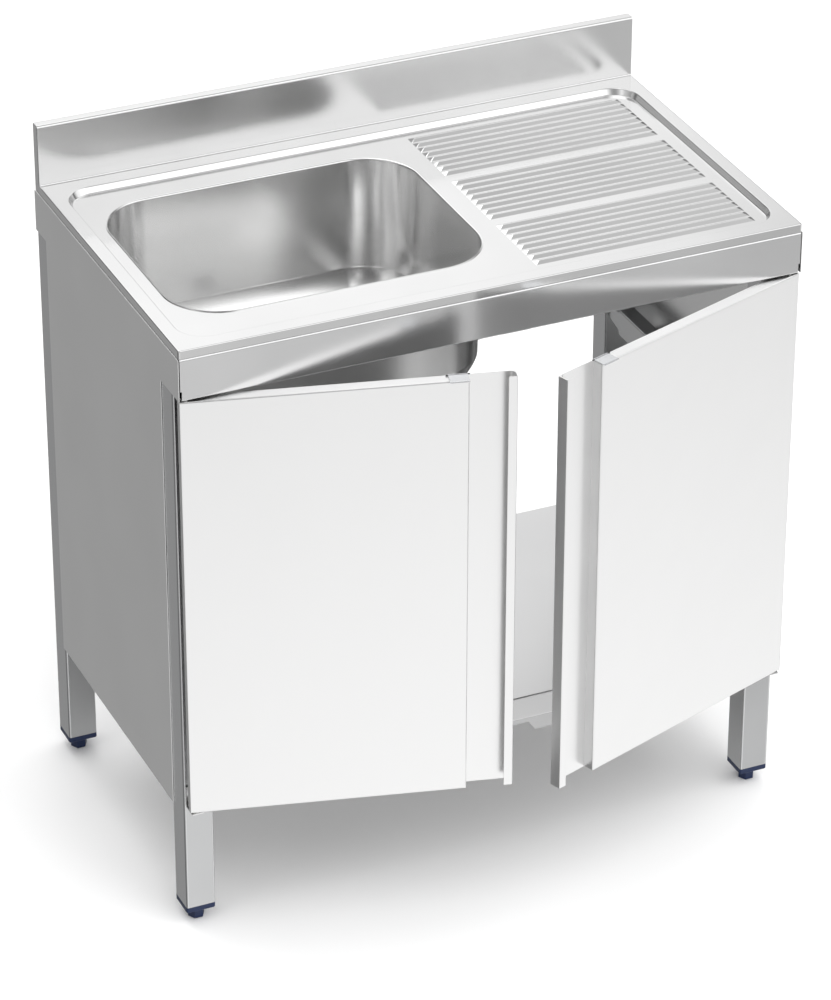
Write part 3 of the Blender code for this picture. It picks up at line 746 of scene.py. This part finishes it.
def worktop():
    bm = bmesh.new()
    lip = [(0.0, LIP_BOTTOM)]
    for step in range(BEND_STEPS + 1):
        turn = math.pi / 2 * step / BEND_STEPS
        lip.append((LIP_BEND * (1 - math.cos(turn)), HEIGHT - LIP_BEND * (1 - math.sin(turn))))
    lip.append((LIP_BEND + LIP_MARGIN, HEIGHT))
    border = rows_of(bm, [lip_row(inset, height) for inset, height in lip])
    for lower, upper in zip(border, border[1:]):
        band(bm, lower, upper, False)

    path = [(2 * RECESS_SLOPE, HEIGHT), (0.0, HEIGHT), (-RECESS_SLOPE, RECESS_FLOOR),
            (-3 * RECESS_SLOPE, RECESS_FLOOR)]
    path = eased(path, RECESS_BEND)
    path = [(path[0][0] + MARGIN, HEIGHT), *path, (path[-1][0] - MARGIN, RECESS_FLOOR)]
    wall = rows_of(bm, [level(recess_ring(offset), height) for offset, height in path])
    for upper, lower in zip(wall, wall[1:]):
        band(bm, lower, upper, True)
    fill_between(bm, border[-1], wall[0])

    rim = rows_of(bm, [level(bowl_ring(RIM_ROLL + grow), RECESS_FLOOR) for grow in (0.0, MARGIN)])
    band(bm, rim[0], rim[1], True)
    loops = [wall[-1], rim[1]]
    for y in rib_places():
        rows = rib_rows(bm, (RIB_LEFT + RIB_RIGHT) / 2, y)
        for lower, upper in zip(rows, rows[1:]):
            band(bm, lower, upper, True)
        bm.faces.new(rows[-1])
        loops.append(rows[0])
    fill_between(bm, *loops)
    bmesh.ops.recalc_face_normals(bm, faces=bm.faces)
    if sum(face.normal.z * face.calc_area() for face in bm.faces) < 0:
        bmesh.ops.reverse_faces(bm, faces=bm.faces)
    add_piece("worktop_form", thickened(bm, DECK_SHEET, -1.0), "deck_steel", ["worktop"], edge=0.0)


def splashback():
    foot = HEIGHT - SPLASH_SINK
    path = [(SPLASH_FRONT - SPLASH_BEND - SPLASH_FOOT, foot), (SPLASH_FRONT, foot),
            (SPLASH_FRONT, SPLASH_TOP), (SPLASH_BACK, SPLASH_TOP), (SPLASH_BACK, LIP_BOTTOM)]
    half = DECK_HALF - GAP
    bm = prism(bent(path, -DECK_SHEET, SPLASH_BEND), "X", -half, half)
    add_piece("splashback_form", bm, "worktop_steel", ["worktop"])
    for side in SIDES:
        dress("splash_cap_" + side, "worktop_steel")


def stiffener():
    low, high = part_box("drainer_stiffener")
    near = low.y + STIFFENER_FLANGE
    far = high.y - STIFFENER_FLANGE
    path = [(low.y, high.z), (near, high.z), (near, low.z + SHEET), (far, low.z + SHEET),
            (far, high.z), (high.y, high.z)]
    bm = prism(bent(path, -SHEET), "X", low.x, high.x)
    add_piece("drainer_stiffener_form", bm, "frame_steel", ["drainer_stiffener"])


def floor_ring(share):
    """An outline between the flat floor's edge and the round waste seat."""
    outer = bowl_ring(-BOWL_DRAFT - BOWL_SPREAD)
    inner = circle(BOWL_X, BOWL_Y, SEAT_RADIUS, len(outer))
    return [(a + (c - a) * share, b + (d - b) * share) for (a, b), (c, d) in zip(outer, inner)]


def sink_bowl():
    count = 4 * (BOWL_ARC + 1)
    rings = [(WASTE_SEAT, circle(BOWL_X, BOWL_Y, WASTE_BORE, count)),
             (WASTE_SEAT, circle(BOWL_X, BOWL_Y, SEAT_RADIUS - SEAT_DISH, count))]
    for number in range(FLOOR_RINGS, 0, -1):
        share = number / FLOOR_RINGS
        rings.append((WASTE_SEAT + SEAT_DISH + (BOWL_FLOOR - WASTE_SEAT - SEAT_DISH) * (1 - share),
                      floor_ring(share)))
    radius = (BOWL_SPREAD ** 2 + BOWL_DISH ** 2) / (2 * BOWL_DISH)
    sweep = math.asin(BOWL_SPREAD / radius) - BOWL_CREASE / radius
    for step in range(BOWL_ARC + 1):
        turn = sweep * step / BOWL_ARC
        inset = BOWL_DRAFT + BOWL_SPREAD - radius * math.sin(turn)
        rings.append((BOWL_FLOOR + radius * (1 - math.cos(turn)), bowl_ring(-inset)))
    rings.append((BOWL_FLOOR + BOWL_DISH + BOWL_CREASE, bowl_ring(-BOWL_DRAFT)))
    for step in range(RIM_STEPS + 1):
        turn = math.pi / 2 * step / RIM_STEPS
        rings.append((RECESS_FLOOR - RIM_ROLL * (1 - math.sin(turn)),
                      bowl_ring(RIM_ROLL * (1 - math.cos(turn)))))
    bm = thickened(skin(rings, closed=False), SHEET, 1.0)
    add_piece("sink_bowl_form", bm, "bowl_steel", ["sink_bowl"], edge=0.0)


def waste_strainer():
    """A flange with a dished top, on a threaded tail."""
    low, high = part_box("waste_strainer")
    flange = high.x - BOWL_X
    bore = WASTE_TUBE - WASTE_WALL
    root = WASTE_TUBE - WASTE_THREAD / 2
    under = high.z - WASTE_FLANGE
    profile = [(bore, low.z + WASTE_EASE), (bore + WASTE_EASE, low.z), (root, low.z)]
    for number in range(WASTE_TURNS):
        height = low.z + WASTE_THREAD * (number + 1)
        profile += [(WASTE_TUBE, height), (root, height + WASTE_THREAD / 2)]
    profile += [(WASTE_TUBE, under - WASTE_NECK), (WASTE_TUBE, under), (flange - WASTE_LIP, under),
                (flange, under + WASTE_LIP), (flange - WASTE_SHOULDER, high.z - 2 * WASTE_LIP),
                (flange - WASTE_CROWN, high.z), (WASTE_TUBE + WASTE_DISH, high.z - WASTE_LIP),
                (bore + WASTE_EASE, high.z - 2 * WASTE_LIP), (bore, high.z - WASTE_MOUTH)]
    add_piece("waste_strainer_form", ring_of(BOWL_X, BOWL_Y, profile), "polished_steel",
              ["waste_strainer"], edge=0.0)


def waste_gasket():
    low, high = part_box("waste_gasket")
    outer = high.x - BOWL_X
    profile = [(WASTE_HOLE, low.z), (outer - WASTE_LIP, low.z), (outer, low.z + WASTE_LIP),
               (outer, high.z - WASTE_LIP), (outer - WASTE_LIP, high.z), (WASTE_HOLE, high.z)]
    add_piece("waste_gasket_form", ring_of(BOWL_X, BOWL_Y, profile), "black_rubber",
              ["waste_gasket"], edge=0.0)


def waste_nut():
    low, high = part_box("waste_nut")
    corner = high.x - BOWL_X
    hexagons = [(low.z, corner - NUT_CHAMFER), (low.z + NUT_CHAMFER / 2, corner),
                (high.z - NUT_CHAMFER / 2, corner), (high.z, corner - NUT_CHAMFER)]
    bm = skin([(z, circle(BOWL_X, BOWL_Y, radius, HEX_SIDES)) for z, radius in hexagons])
    bm = carved(bm, rod(BOWL_X, BOWL_Y, WASTE_HOLE, (low.z - NUT_CHAMFER, high.z + NUT_CHAMFER)))
    add_piece("waste_nut_form", bm, "white_nylon", ["waste_nut"])


# Aprons and side panels

def aprons():
    low, high = APRON_LOW, APRON_HIGH
    path = [(FRONT + APRON_FOLD, APRON_TOP), (FRONT, APRON_TOP), (FRONT, APRON_BOTTOM),
            (high.y, APRON_BOTTOM)]
    bm = prism(bent(path, SHEET, 2 * BEND, BEND), "X", low.x, high.x)
    cutters = []
    for side in SIDES.values():
        x = sorted((side * (high.x - SLOT_DEEP), side * HALF))
        cutters.append(block(x, (FRONT - SHEET, high.y + SHEET),
                             (APRON_BOTTOM - SHEET, APRON_BOTTOM + SLOT_HIGH)))
        cutters.append(rod(side * PIVOT_X, PIVOT_Y, PIN_BORE,
                           (APRON_BOTTOM - SHEET, APRON_BOTTOM + 3 * SHEET)))
    add_piece("front_apron_form", carved(bm, *cutters), "panel_steel", ["front_apron"])

    low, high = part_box("rear_apron")
    path = [(low.y, high.z), (high.y, high.z), (high.y, low.z)]
    bm = prism(bent(path, -SHEET), "X", low.x, high.x)
    add_piece("rear_apron_form", bm, "panel_steel", ["rear_apron"])


def side_panels():
    for name, side in SIDES.items():
        low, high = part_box(name + "_side_panel")
        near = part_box("leg_front_" + name)[1].y
        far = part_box("leg_rear_" + name)[0].y
        outline = [(FRONT, APRON_TOP), (FRONT, APRON_BOTTOM), (near - PANEL_LAP, APRON_BOTTOM),
                   (near - PANEL_LAP, low.z), (far + PANEL_LAP, low.z),
                   (far + PANEL_LAP, APRON_BOTTOM), (BACK, APRON_BOTTOM), (BACK, APRON_TOP)]
        bm = prism(outline, "X", side * (HALF - SHEET), side * HALF)
        x = sorted((side * (HALF - PANEL_FOLD), side * (HALF - SHEET / 2)))
        block(x, (near + GAP, far - GAP), (low.z, low.z + SHEET), bm)
        block(x, (FRONT + PANEL_TOP_INSET, BACK - PANEL_TOP_INSET), (APRON_TOP - SHEET, APRON_TOP), bm)
        add_piece(name + "_side_panel_form", bm, "side_steel", [name + "_side_panel"],
                  edge=PANEL_EDGE)


# Legs, caps and feet

def leg(corner, x, y, half):
    low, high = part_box("leg_" + corner)
    ring = rounded(x, y, half, half, LEG_RADIUS, LEG_STEPS)
    bm = thickened(skin([(low.z, ring), (high.z, ring)], closed=False), LEG_WALL, -1.0)
    add_piece("leg_%s_form" % corner, bm, "frame_steel", ["leg_" + corner])


def cap_ring(x, y, half, inset):
    """An outline of the cap, with tighter corners where it is smaller than the leg."""
    radius = LEG_RADIUS - min(inset, CAP_TIGHTEN)
    return rounded(x, y, half - inset, half - inset, radius, LEG_STEPS)


def foot_cap(corner, x, y, half):
    """A band under the leg, with a plug inside it and a bore for the foot's screw."""
    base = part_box("foot_cap_" + corner)[0].z
    leg_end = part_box("leg_" + corner)[0].z
    top = leg_end - GAP
    tight = LEG_WALL + GAP
    insets = [(base, CAP_CHAMFER), (base + CAP_CHAMFER, 0.0), (top - CAP_EDGE, 0.0),
              (top, CAP_EDGE), (top, tight), (leg_end + PLUG_SHOULDER, tight),
              (leg_end + PLUG_END, tight + PLUG_TAPER)]
    bm = skin([(z, cap_ring(x, y, half, inset)) for z, inset in insets])
    bm = carved(bm, rod(x, y, CAP_BORE, (base - CAP_CUT_BELOW, leg_end + CAP_CUT_ABOVE)))
    add_piece("foot_cap_%s_form" % corner, bm, "navy_plastic", ["foot_cap_" + corner], edge=0.0)


def foot(corner, x, y):
    """A hexagonal foot with its screw."""
    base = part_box("foot_cap_" + corner)[0].z
    low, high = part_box("foot_" + corner)
    top = base - GAP
    hexagons = [(0.0, FOOT_RADIUS - FOOT_CHAMFER), (FOOT_SOLE, FOOT_RADIUS - FOOT_EASE),
                (FOOT_CHAMFER, FOOT_RADIUS), (top - FOOT_SHOULDER, FOOT_RADIUS),
                (top, FOOT_RADIUS - FOOT_CHAMFER)]
    bm = skin([(low.z + z, circle(x, y, reach, HEX_SIDES)) for z, reach in hexagons])
    stud(x, y, base - STUD_SINK, high.z, bm)
    add_piece("foot_%s_form" % corner, bm, "navy_plastic", ["foot_" + corner], corner + "_foot")


def legs():
    for corner in CORNERS:
        low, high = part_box("leg_" + corner)
        x = (low.x + high.x) / 2
        y = (low.y + high.y) / 2
        half = (high.x - low.x) / 2
        leg(corner, x, y, half)
        foot_cap(corner, x, y, half)
        foot(corner, x, y)


def stud(x, y, base, top, bm):
    """A threaded bar with a pointed end."""
    profile = [(STUD_ROOT, base)]
    height = base + STUD_PITCH / 2
    while height < top - 2 * STUD_PITCH:
        profile += [(STUD_CREST, height), (STUD_ROOT, height + STUD_PITCH / 2)]
        height += STUD_PITCH
    profile += [(STUD_ROOT, top - STUD_POINT), (STUD_ROOT - STUD_POINT, top)]
    turned(x, y, profile, STUD_SIDES, bm)


# Rails, shelf and pivots

def mid_rails():
    """Channels along the sides, with a tapered tongue lapped behind the web at each end."""
    for name, side in SIDES.items():
        low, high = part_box(name + "_mid_rail")
        reach = sorted((abs(low.x), abs(high.x)))
        ends = (low.y + TONGUE, high.y - TONGUE)
        path = [(reach[1], low.z), (reach[0], low.z), (reach[0], high.z), (reach[1], high.z)]
        bm = prism(mirrored(bent(path, -SHEET), side), "Y", *ends)
        height = high.z - low.z
        tip = [low.z + height * share for share in TONGUE_TIP]
        root = [low.z + height * share for share in TONGUE_ROOT]
        plate = [side * (reach[0] + SHEET * share) for share in TONGUE_PLATE]
        for tip_y, root_y in ((low.y, ends[0]), (high.y, ends[1])):
            deep = root_y + math.copysign(TONGUE_LAP, root_y - tip_y)
            outline = [(tip_y, tip[0]), (root_y, root[0]), (deep, root[0]), (deep, root[1]),
                       (root_y, root[1]), (tip_y, tip[1])]
            prism(outline, "X", *plate, bm)
        add_piece(name + "_mid_rail_form", bm, "frame_steel", [name + "_mid_rail"])


def bottom_shelf():
    """A folded shelf, cut out around the legs and notched at the front."""
    low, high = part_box("bottom_shelf")
    path = [(low.y, low.z), (low.y, high.z), (high.y, high.z), (high.y, high.z - SHELF_REAR_FOLD)]
    bm = prism(bent(path, -SHEET), "X", low.x, high.x)
    cutters = []
    for name, side in SIDES.items():
        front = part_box("leg_front_" + name)
        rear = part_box("leg_rear_" + name)
        inner = min(abs(front[0].x), abs(front[1].x)) - GAP
        x = sorted((side * inner, side * HALF))
        for y in ((FRONT, front[1].y + GAP), (rear[0].y - GAP, BACK)):
            cutters.append(block(x, y, (low.z - SHEET, high.z + SHEET)))
    base = NOTCH_HALF + NOTCH_SLANT * (1 + SHEET / NOTCH_RISE)
    notch = [(-base, low.z - SHEET), (base, low.z - SHEET), (NOTCH_HALF, low.z + NOTCH_RISE),
             (-NOTCH_HALF, low.z + NOTCH_RISE)]
    cutters.append(prism(notch, "Y", FRONT, low.y + 2 * SHEET))
    # The shelf's darker finish is painted shade for the inside of the cabinet
    add_piece("bottom_shelf_form", carved(bm, *cutters), "shelf_steel_painted_shade", ["bottom_shelf"])


def front_bottom_rail():
    low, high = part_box("front_bottom_rail")
    path = [(low.y, high.z), (low.y, low.z), (low.y + RAIL_EDGE, low.z)]
    bm = prism(bent(path, SHEET, RAIL_BEND), "X", low.x, high.x)
    add_piece("front_bottom_rail_form", bm, "panel_steel", ["front_bottom_rail"])


def pivot_bracket(name, x):
    """A folded bracket with the pin that the door stands on."""
    low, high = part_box(name + "_pivot_bracket")
    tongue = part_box(name + "_pivot_washer")[0].z - GAP
    path = [(low.y, tongue - BRACKET_THICK), (high.y, tongue - BRACKET_THICK),
            (high.y, tongue + BRACKET_RISE)]
    bm = prism(bent(path, BRACKET_THICK), "X", low.x, high.x)
    turned(x, PIVOT_Y, ((PIN_RADIUS - PIN_FOOT, low.z), (PIN_RADIUS, low.z + PIN_FOOT),
                        (PIN_RADIUS, high.z - PIN_TIP), (PIN_RADIUS - PIN_TIP, high.z)),
           PIN_SIDES, bm)
    add_piece(name + "_pivot_bracket_form", bm, "polished_steel", [name + "_pivot_bracket"])


def pivot_washer(name, x):
    low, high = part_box(name + "_pivot_washer")
    outer = high.x - x
    profile = [(PIN_BORE, low.z), (outer - WASHER_LIP, low.z), (outer, low.z + WASHER_LIP),
               (outer, high.z - WASHER_LIP), (outer - WASHER_LIP, high.z), (PIN_BORE, high.z)]
    add_piece(name + "_pivot_washer_form", ring_of(x, PIVOT_Y, profile), "white_nylon",
              [name + "_pivot_washer"], edge=0.0)


def top_pin(name, x):
    low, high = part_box(name + "_top_pin")
    head = high.x - x
    under = high.z - PIN_HEAD
    profile = [(PIN_RADIUS - PIN_TIP, low.z), (PIN_RADIUS, low.z + PIN_TIP), (PIN_RADIUS, under),
               (head, under), (head, high.z - PIN_CROWN), (head - PIN_CROWN, high.z)]
    add_piece(name + "_top_pin_form", turned(x, PIVOT_Y, profile, PIN_SIDES), "polished_steel",
              [name + "_top_pin"])


def pivots():
    for name in SIDES:
        low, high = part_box(name + "_pivot_bracket")
        x = (low.x + high.x) / 2
        pivot_bracket(name, x)
        pivot_washer(name, x)
        top_pin(name, x)
    for name in SIDES:
        dress(name + "_catch_magnet", "black_plastic", MAGNET_EDGE)


# Doors

def door_place(name):
    pivot = PIVOTS[name + "_door"]
    return Matrix.Translation((pivot.x, pivot.y, 0.0)) @ Matrix.Rotation(DOOR_TURN[name], 4, "Z")


def door_shell(side):
    """The face and its four turned edges, open at the back."""
    x = sorted((-side * DOOR_EDGE, -side * FACE_REACH))
    bm = block(x, (DOOR_FRONT, DOOR_BACK), (DOOR_BOTTOM, DOOR_TOP))
    bmesh.ops.delete(bm, geom=[face for face in bm.faces if face.normal.y > FACES_BACK],
                     context="FACES_ONLY")
    folds = [edge for edge in bm.edges if len(edge.link_faces) == 2]
    bmesh.ops.bevel(bm, geom=folds, offset=DOOR_BEND, segments=BEND_STEPS, profile=ROUND_PROFILE,
                    affect="EDGES")
    bm = thickened(bm, SHEET, -1.0)
    height = DOOR_TOP - DOOR_BOTTOM
    return carved(bm, rod(0.0, 0.0, PIN_BORE, (DOOR_BOTTOM - height, DOOR_TOP + height)))


def handle_outline():
    """The finger recess and its lip: a square fold outside, filled to a wide curve inside."""
    end = DOOR_REACH - HANDLE_LIP
    outer = [(FACE_REACH, DOOR_BACK), (DOOR_REACH, DOOR_BACK), (DOOR_REACH, DOOR_FRONT),
             (end, DOOR_FRONT)]
    inner = [(FACE_REACH, DOOR_BACK - SHEET), (DOOR_REACH - SHEET, DOOR_BACK - SHEET),
             (DOOR_REACH - SHEET, DOOR_FRONT + SHEET), (end, DOOR_FRONT + SHEET)]
    outside = outer[:1] + eased(outer, BEND) + outer[-1:]
    inside = inner[:1] + eased(inner[:3], HANDLE_BEND) + eased(inner[1:], BEND / 2) + inner[-1:]
    return outside + inside[::-1]


def clip_pin(x):
    """A thin bar under the clip with a thicker head at each end."""
    place = (DOOR_BACK - CLIP_PIN_INSET, CLIP_TOP - CLIP_PIN_SINK)
    bar = circle(*place, CLIP_PIN * CLIP_PIN_SHARE, CLIP_PIN_SIDES)
    bm = prism(bar, "X", x[0] - CLIP_PIN_END / 2, x[1] + CLIP_PIN_END / 2)
    for start, stop in ((x[0] - CLIP_PIN_END, x[0]), (x[1], x[1] + CLIP_PIN_END)):
        prism(circle(*place, CLIP_PIN, CLIP_PIN_SIDES), "X", start, stop, bm)
    return bm


def door_skin(name, side, place):
    bm = door_shell(side)
    prism(mirrored(handle_outline(), -side), "Z", DOOR_BOTTOM, DOOR_TOP, bm)
    add_piece(name + "_door_skin_form", bm, "door_steel", [name + "_door_skin"], name + "_door", place)


def door_clip(name, side, place):
    """A thin plate on the door's top edge, turned down a little at the front, and its pin."""
    nose = DOOR_FRONT - CLIP_NOSE
    path = [(DOOR_BACK, CLIP_TOP), (nose, CLIP_TOP), (nose - CLIP_LIP, CLIP_TOP - CLIP_LIP / 2)]
    x = sorted((-side * (FACE_REACH - CLIP_WIDTH), -side * FACE_REACH))
    bm = prism(bent(path, CLIP_THICK), "X", *x)
    nodes = [name + "_door_clip"]
    add_piece(name + "_door_clip_form", bm, "clip_steel", nodes, name + "_door", place)
    add_piece(name + "_door_clip_pin_form", clip_pin(x), "black_plastic", nodes, name + "_door",
              place, edge=0.0)


def doors():
    for name, side in SIDES.items():
        place = door_place(name)
        door_skin(name, side, place)
        dress(name + "_door_liner", "door_steel")
        door_clip(name, side, place)


# Floor, light and camera

FLOOR_SIZE = 60.0
FLOOR_STEP = 0.00005
FLOOR_TINT = (0.93, 0.93, 0.93)
# Painted shade under the cabinet: the darker tint of a patch that only the steel's reflections show,
# and how far behind the front it starts
PAINTED_SHADE_TINT = (0.58, 0.58, 0.58)
PAINTED_SHADE_FRONT = 0.03
PALE_DRIFT = (0.7, 0.7, 0.7)
PALE_SHADE = 0.99
PALE_ROUGH = 0.9
VIEW_PLACE = (-2.2092, -4.8954, 3.5974)
VIEW_TURN = (59.941, 0.0, -23.774)
VIEW_LENS = 163.0
VIEW_SENSOR = 36.0
VIEW_REACH = 100.0
VIEW_SHIFT = (0.015, -0.0075)


def floor_piece(name, x, y, height, mat):
    mesh = bpy.data.meshes.new(name)
    mesh.from_pydata([(x[0], y[0], height), (x[1], y[0], height), (x[1], y[1], height),
                      (x[0], y[1], height)], [], [(0, 1, 2, 3)])
    mesh.materials.append(mat)
    obj = bpy.data.objects.new(name, mesh)
    bpy.context.scene.collection.objects.link(obj)
    return obj


def pale(name, tint):
    """A matt pale surface with a faint slow drift."""
    mat, tree, shader = start_material(name, 0.0)
    drift = noise(tree, PALE_DRIFT, DRIFT_DETAIL)
    dark = [value * PALE_SHADE for value in tint]
    tree.links.new(blend_colours(tree, drift, dark, tint), shader.inputs["Base Color"])
    shader.inputs["Roughness"].default_value = PALE_ROUGH
    shader.inputs["Specular IOR Level"].default_value = 0.0
    return mat


def floor():
    """A wide pale floor that the steel doesn't mirror, and a duller patch of painted shade on it under
    the cabinet, which the steel mirrors and the camera doesn't see."""
    half = FLOOR_SIZE / 2
    wide = floor_piece("floor", (-half, half), (-half, half), 0.0, pale("floor", FLOOR_TINT))
    wide.visible_glossy = False
    # A darker patch of painted shade under the cabinet, shown only in the steel's reflections
    below = floor_piece("painted_floor_shade", (-HALF, HALF), (FRONT + PAINTED_SHADE_FRONT, BACK), FLOOR_STEP,
                        pale("painted_floor_shade", PAINTED_SHADE_TINT))
    below.visible_camera = False
    below.visible_diffuse = False
    below.visible_shadow = False


# Brightness of the studio by the height of the direction, from straight down to straight up
SKY = ((-1.0, 0.48), (-0.5, 0.42), (-0.15, 0.42), (0.10, 0.55), (0.27, 0.85), (0.40, 1.15),
       (0.56, 1.18), (0.68, 1.45), (0.78, 1.35), (0.86, 0.84), (0.94, 0.42), (1.0, 0.36))

DARKEST = 0.06
SPARE_STOP = 0.5

# Soft patches that brighten or darken the studio: direction, half-angles of the core and the fade
# in degrees, and the brightness added
PANELS = (
    ((-0.060, -0.690, -0.72), 5.0, 29.0, 0.70),
    ((0.640, -0.325, -0.70), 5.0, 30.0, 0.78),
    ((0.160, -0.850, -0.48), 6.0, 24.0, 0.24),
    ((-0.349, 0.792, -0.5), 14.0, 40.0, -0.08),
    ((0.420, 0.770, -0.5), 14.0, 32.0, -0.26),
    ((-0.850, 0.150, -0.5), 12.0, 36.0, -0.26),
    ((0.349, -0.792, 0.45), 12.0, 40.0, 0.24),
    ((-0.420, -0.780, 0.46), 16.0, 42.0, -1.00),
    ((-0.700, 0.420, 0.58), 30.0, 45.0, -0.75),
    ((0.800, 0.420, 0.45), 18.0, 34.0, -0.95),
    ((-0.080, 0.400, 0.91), 12.0, 26.0, 1.50),
    ((-0.120, 0.780, 0.61), 6.0, 16.0, 0.45),
    ((-0.500, 0.710, 0.49), 12.0, 28.0, -0.65),
    ((-0.620, -0.780, -0.02), 8.0, 24.0, 1.00),
)


def add_panel(tree, direction_socket, direction, core, fade, brightness):
    dot = tree.nodes.new("ShaderNodeVectorMath")
    dot.operation = "DOT_PRODUCT"
    dot.inputs[1].default_value = Vector(direction).normalized()
    tree.links.new(direction_socket, dot.inputs[0])
    node = tree.nodes.new("ShaderNodeMapRange")
    node.interpolation_type = "SMOOTHSTEP"
    node.inputs["From Min"].default_value = math.cos(math.radians(fade))
    node.inputs["From Max"].default_value = math.cos(math.radians(core))
    node.inputs["To Max"].default_value = brightness
    tree.links.new(dot.outputs["Value"], node.inputs["Value"])
    return node.outputs["Result"]


def studio():
    world = bpy.data.worlds.new("studio")
    bpy.context.scene.world = world
    world.use_nodes = True
    tree = world.node_tree
    coords = tree.nodes.new("ShaderNodeTexCoord")
    split = tree.nodes.new("ShaderNodeSeparateXYZ")
    tree.links.new(coords.outputs["Generated"], split.inputs["Vector"])
    height = tree.nodes.new("ShaderNodeMapRange")
    height.inputs["From Min"].default_value = -1.0
    tree.links.new(split.outputs["Z"], height.inputs["Value"])
    ramp = tree.nodes.new("ShaderNodeValToRGB")
    ramp.color_ramp.interpolation = "LINEAR"
    while len(ramp.color_ramp.elements) < len(SKY):
        ramp.color_ramp.elements.new(SPARE_STOP)
    for element, (level_z, value) in zip(ramp.color_ramp.elements, SKY):
        element.position = (level_z + 1.0) / 2
        element.color = (value, value, value, 1.0)
    tree.links.new(height.outputs["Result"], ramp.inputs["Fac"])
    brightness = ramp.outputs["Color"]
    for panel in PANELS:
        brightness = total(tree, brightness, add_panel(tree, coords.outputs["Generated"], *panel))
    limit = tree.nodes.new("ShaderNodeMath")
    limit.operation = "MAXIMUM"
    limit.inputs[1].default_value = DARKEST
    tree.links.new(brightness, limit.inputs[0])
    background = tree.nodes["Background"]
    background.inputs["Color"].default_value = (1.0, 1.0, 1.0, 1.0)
    tree.links.new(limit.outputs["Value"], background.inputs["Strength"])


def soft_light(name, place, aim, size, power):
    """A wide soft light that the floor shows and the steel doesn't mirror."""
    data = bpy.data.lights.new(name, "AREA")
    data.shape = "RECTANGLE"
    data.size = size[0]
    data.size_y = size[1]
    data.energy = power
    obj = bpy.data.objects.new(name, data)
    bpy.context.scene.collection.objects.link(obj)
    obj.location = place
    backward = Vector(place) - Vector(aim)
    obj.rotation_euler = Vector((0.0, 0.0, 1.0)).rotation_difference(backward).to_euler()
    obj.visible_glossy = False
    obj.visible_camera = False


# Soft lights: name, place, the point they face, size and power in watts
LIGHTS = (
    ("overhead", (0.2, -0.6, 4.0), (0.0, 0.0, 0.3), (7.0, 7.0), 205.0),
    ("front_fill", (-0.6, -5.0, 1.6), (0.0, 0.0, 0.2), (6.0, 3.0), 150.0),
)


def lights():
    for light in LIGHTS:
        soft_light(*light)


def camera():
    data = bpy.data.cameras.new("camera")
    data.lens = VIEW_LENS
    data.sensor_width = VIEW_SENSOR
    data.shift_x = VIEW_SHIFT[0]
    data.shift_y = VIEW_SHIFT[1]
    data.clip_end = VIEW_REACH
    obj = bpy.data.objects.new("camera", data)
    bpy.context.scene.collection.objects.link(obj)
    obj.location = VIEW_PLACE
    obj.rotation_euler = [math.radians(angle) for angle in VIEW_TURN]
    bpy.context.scene.camera = obj


worktop()
splashback()
stiffener()
sink_bowl()
waste_strainer()
waste_gasket()
waste_nut()
aprons()
side_panels()
legs()
mid_rails()
bottom_shelf()
front_bottom_rail()
pivots()
doors()
floor()
studio()
lights()
camera()
bpy.context.scene.view_settings.view_transform = "Standard"
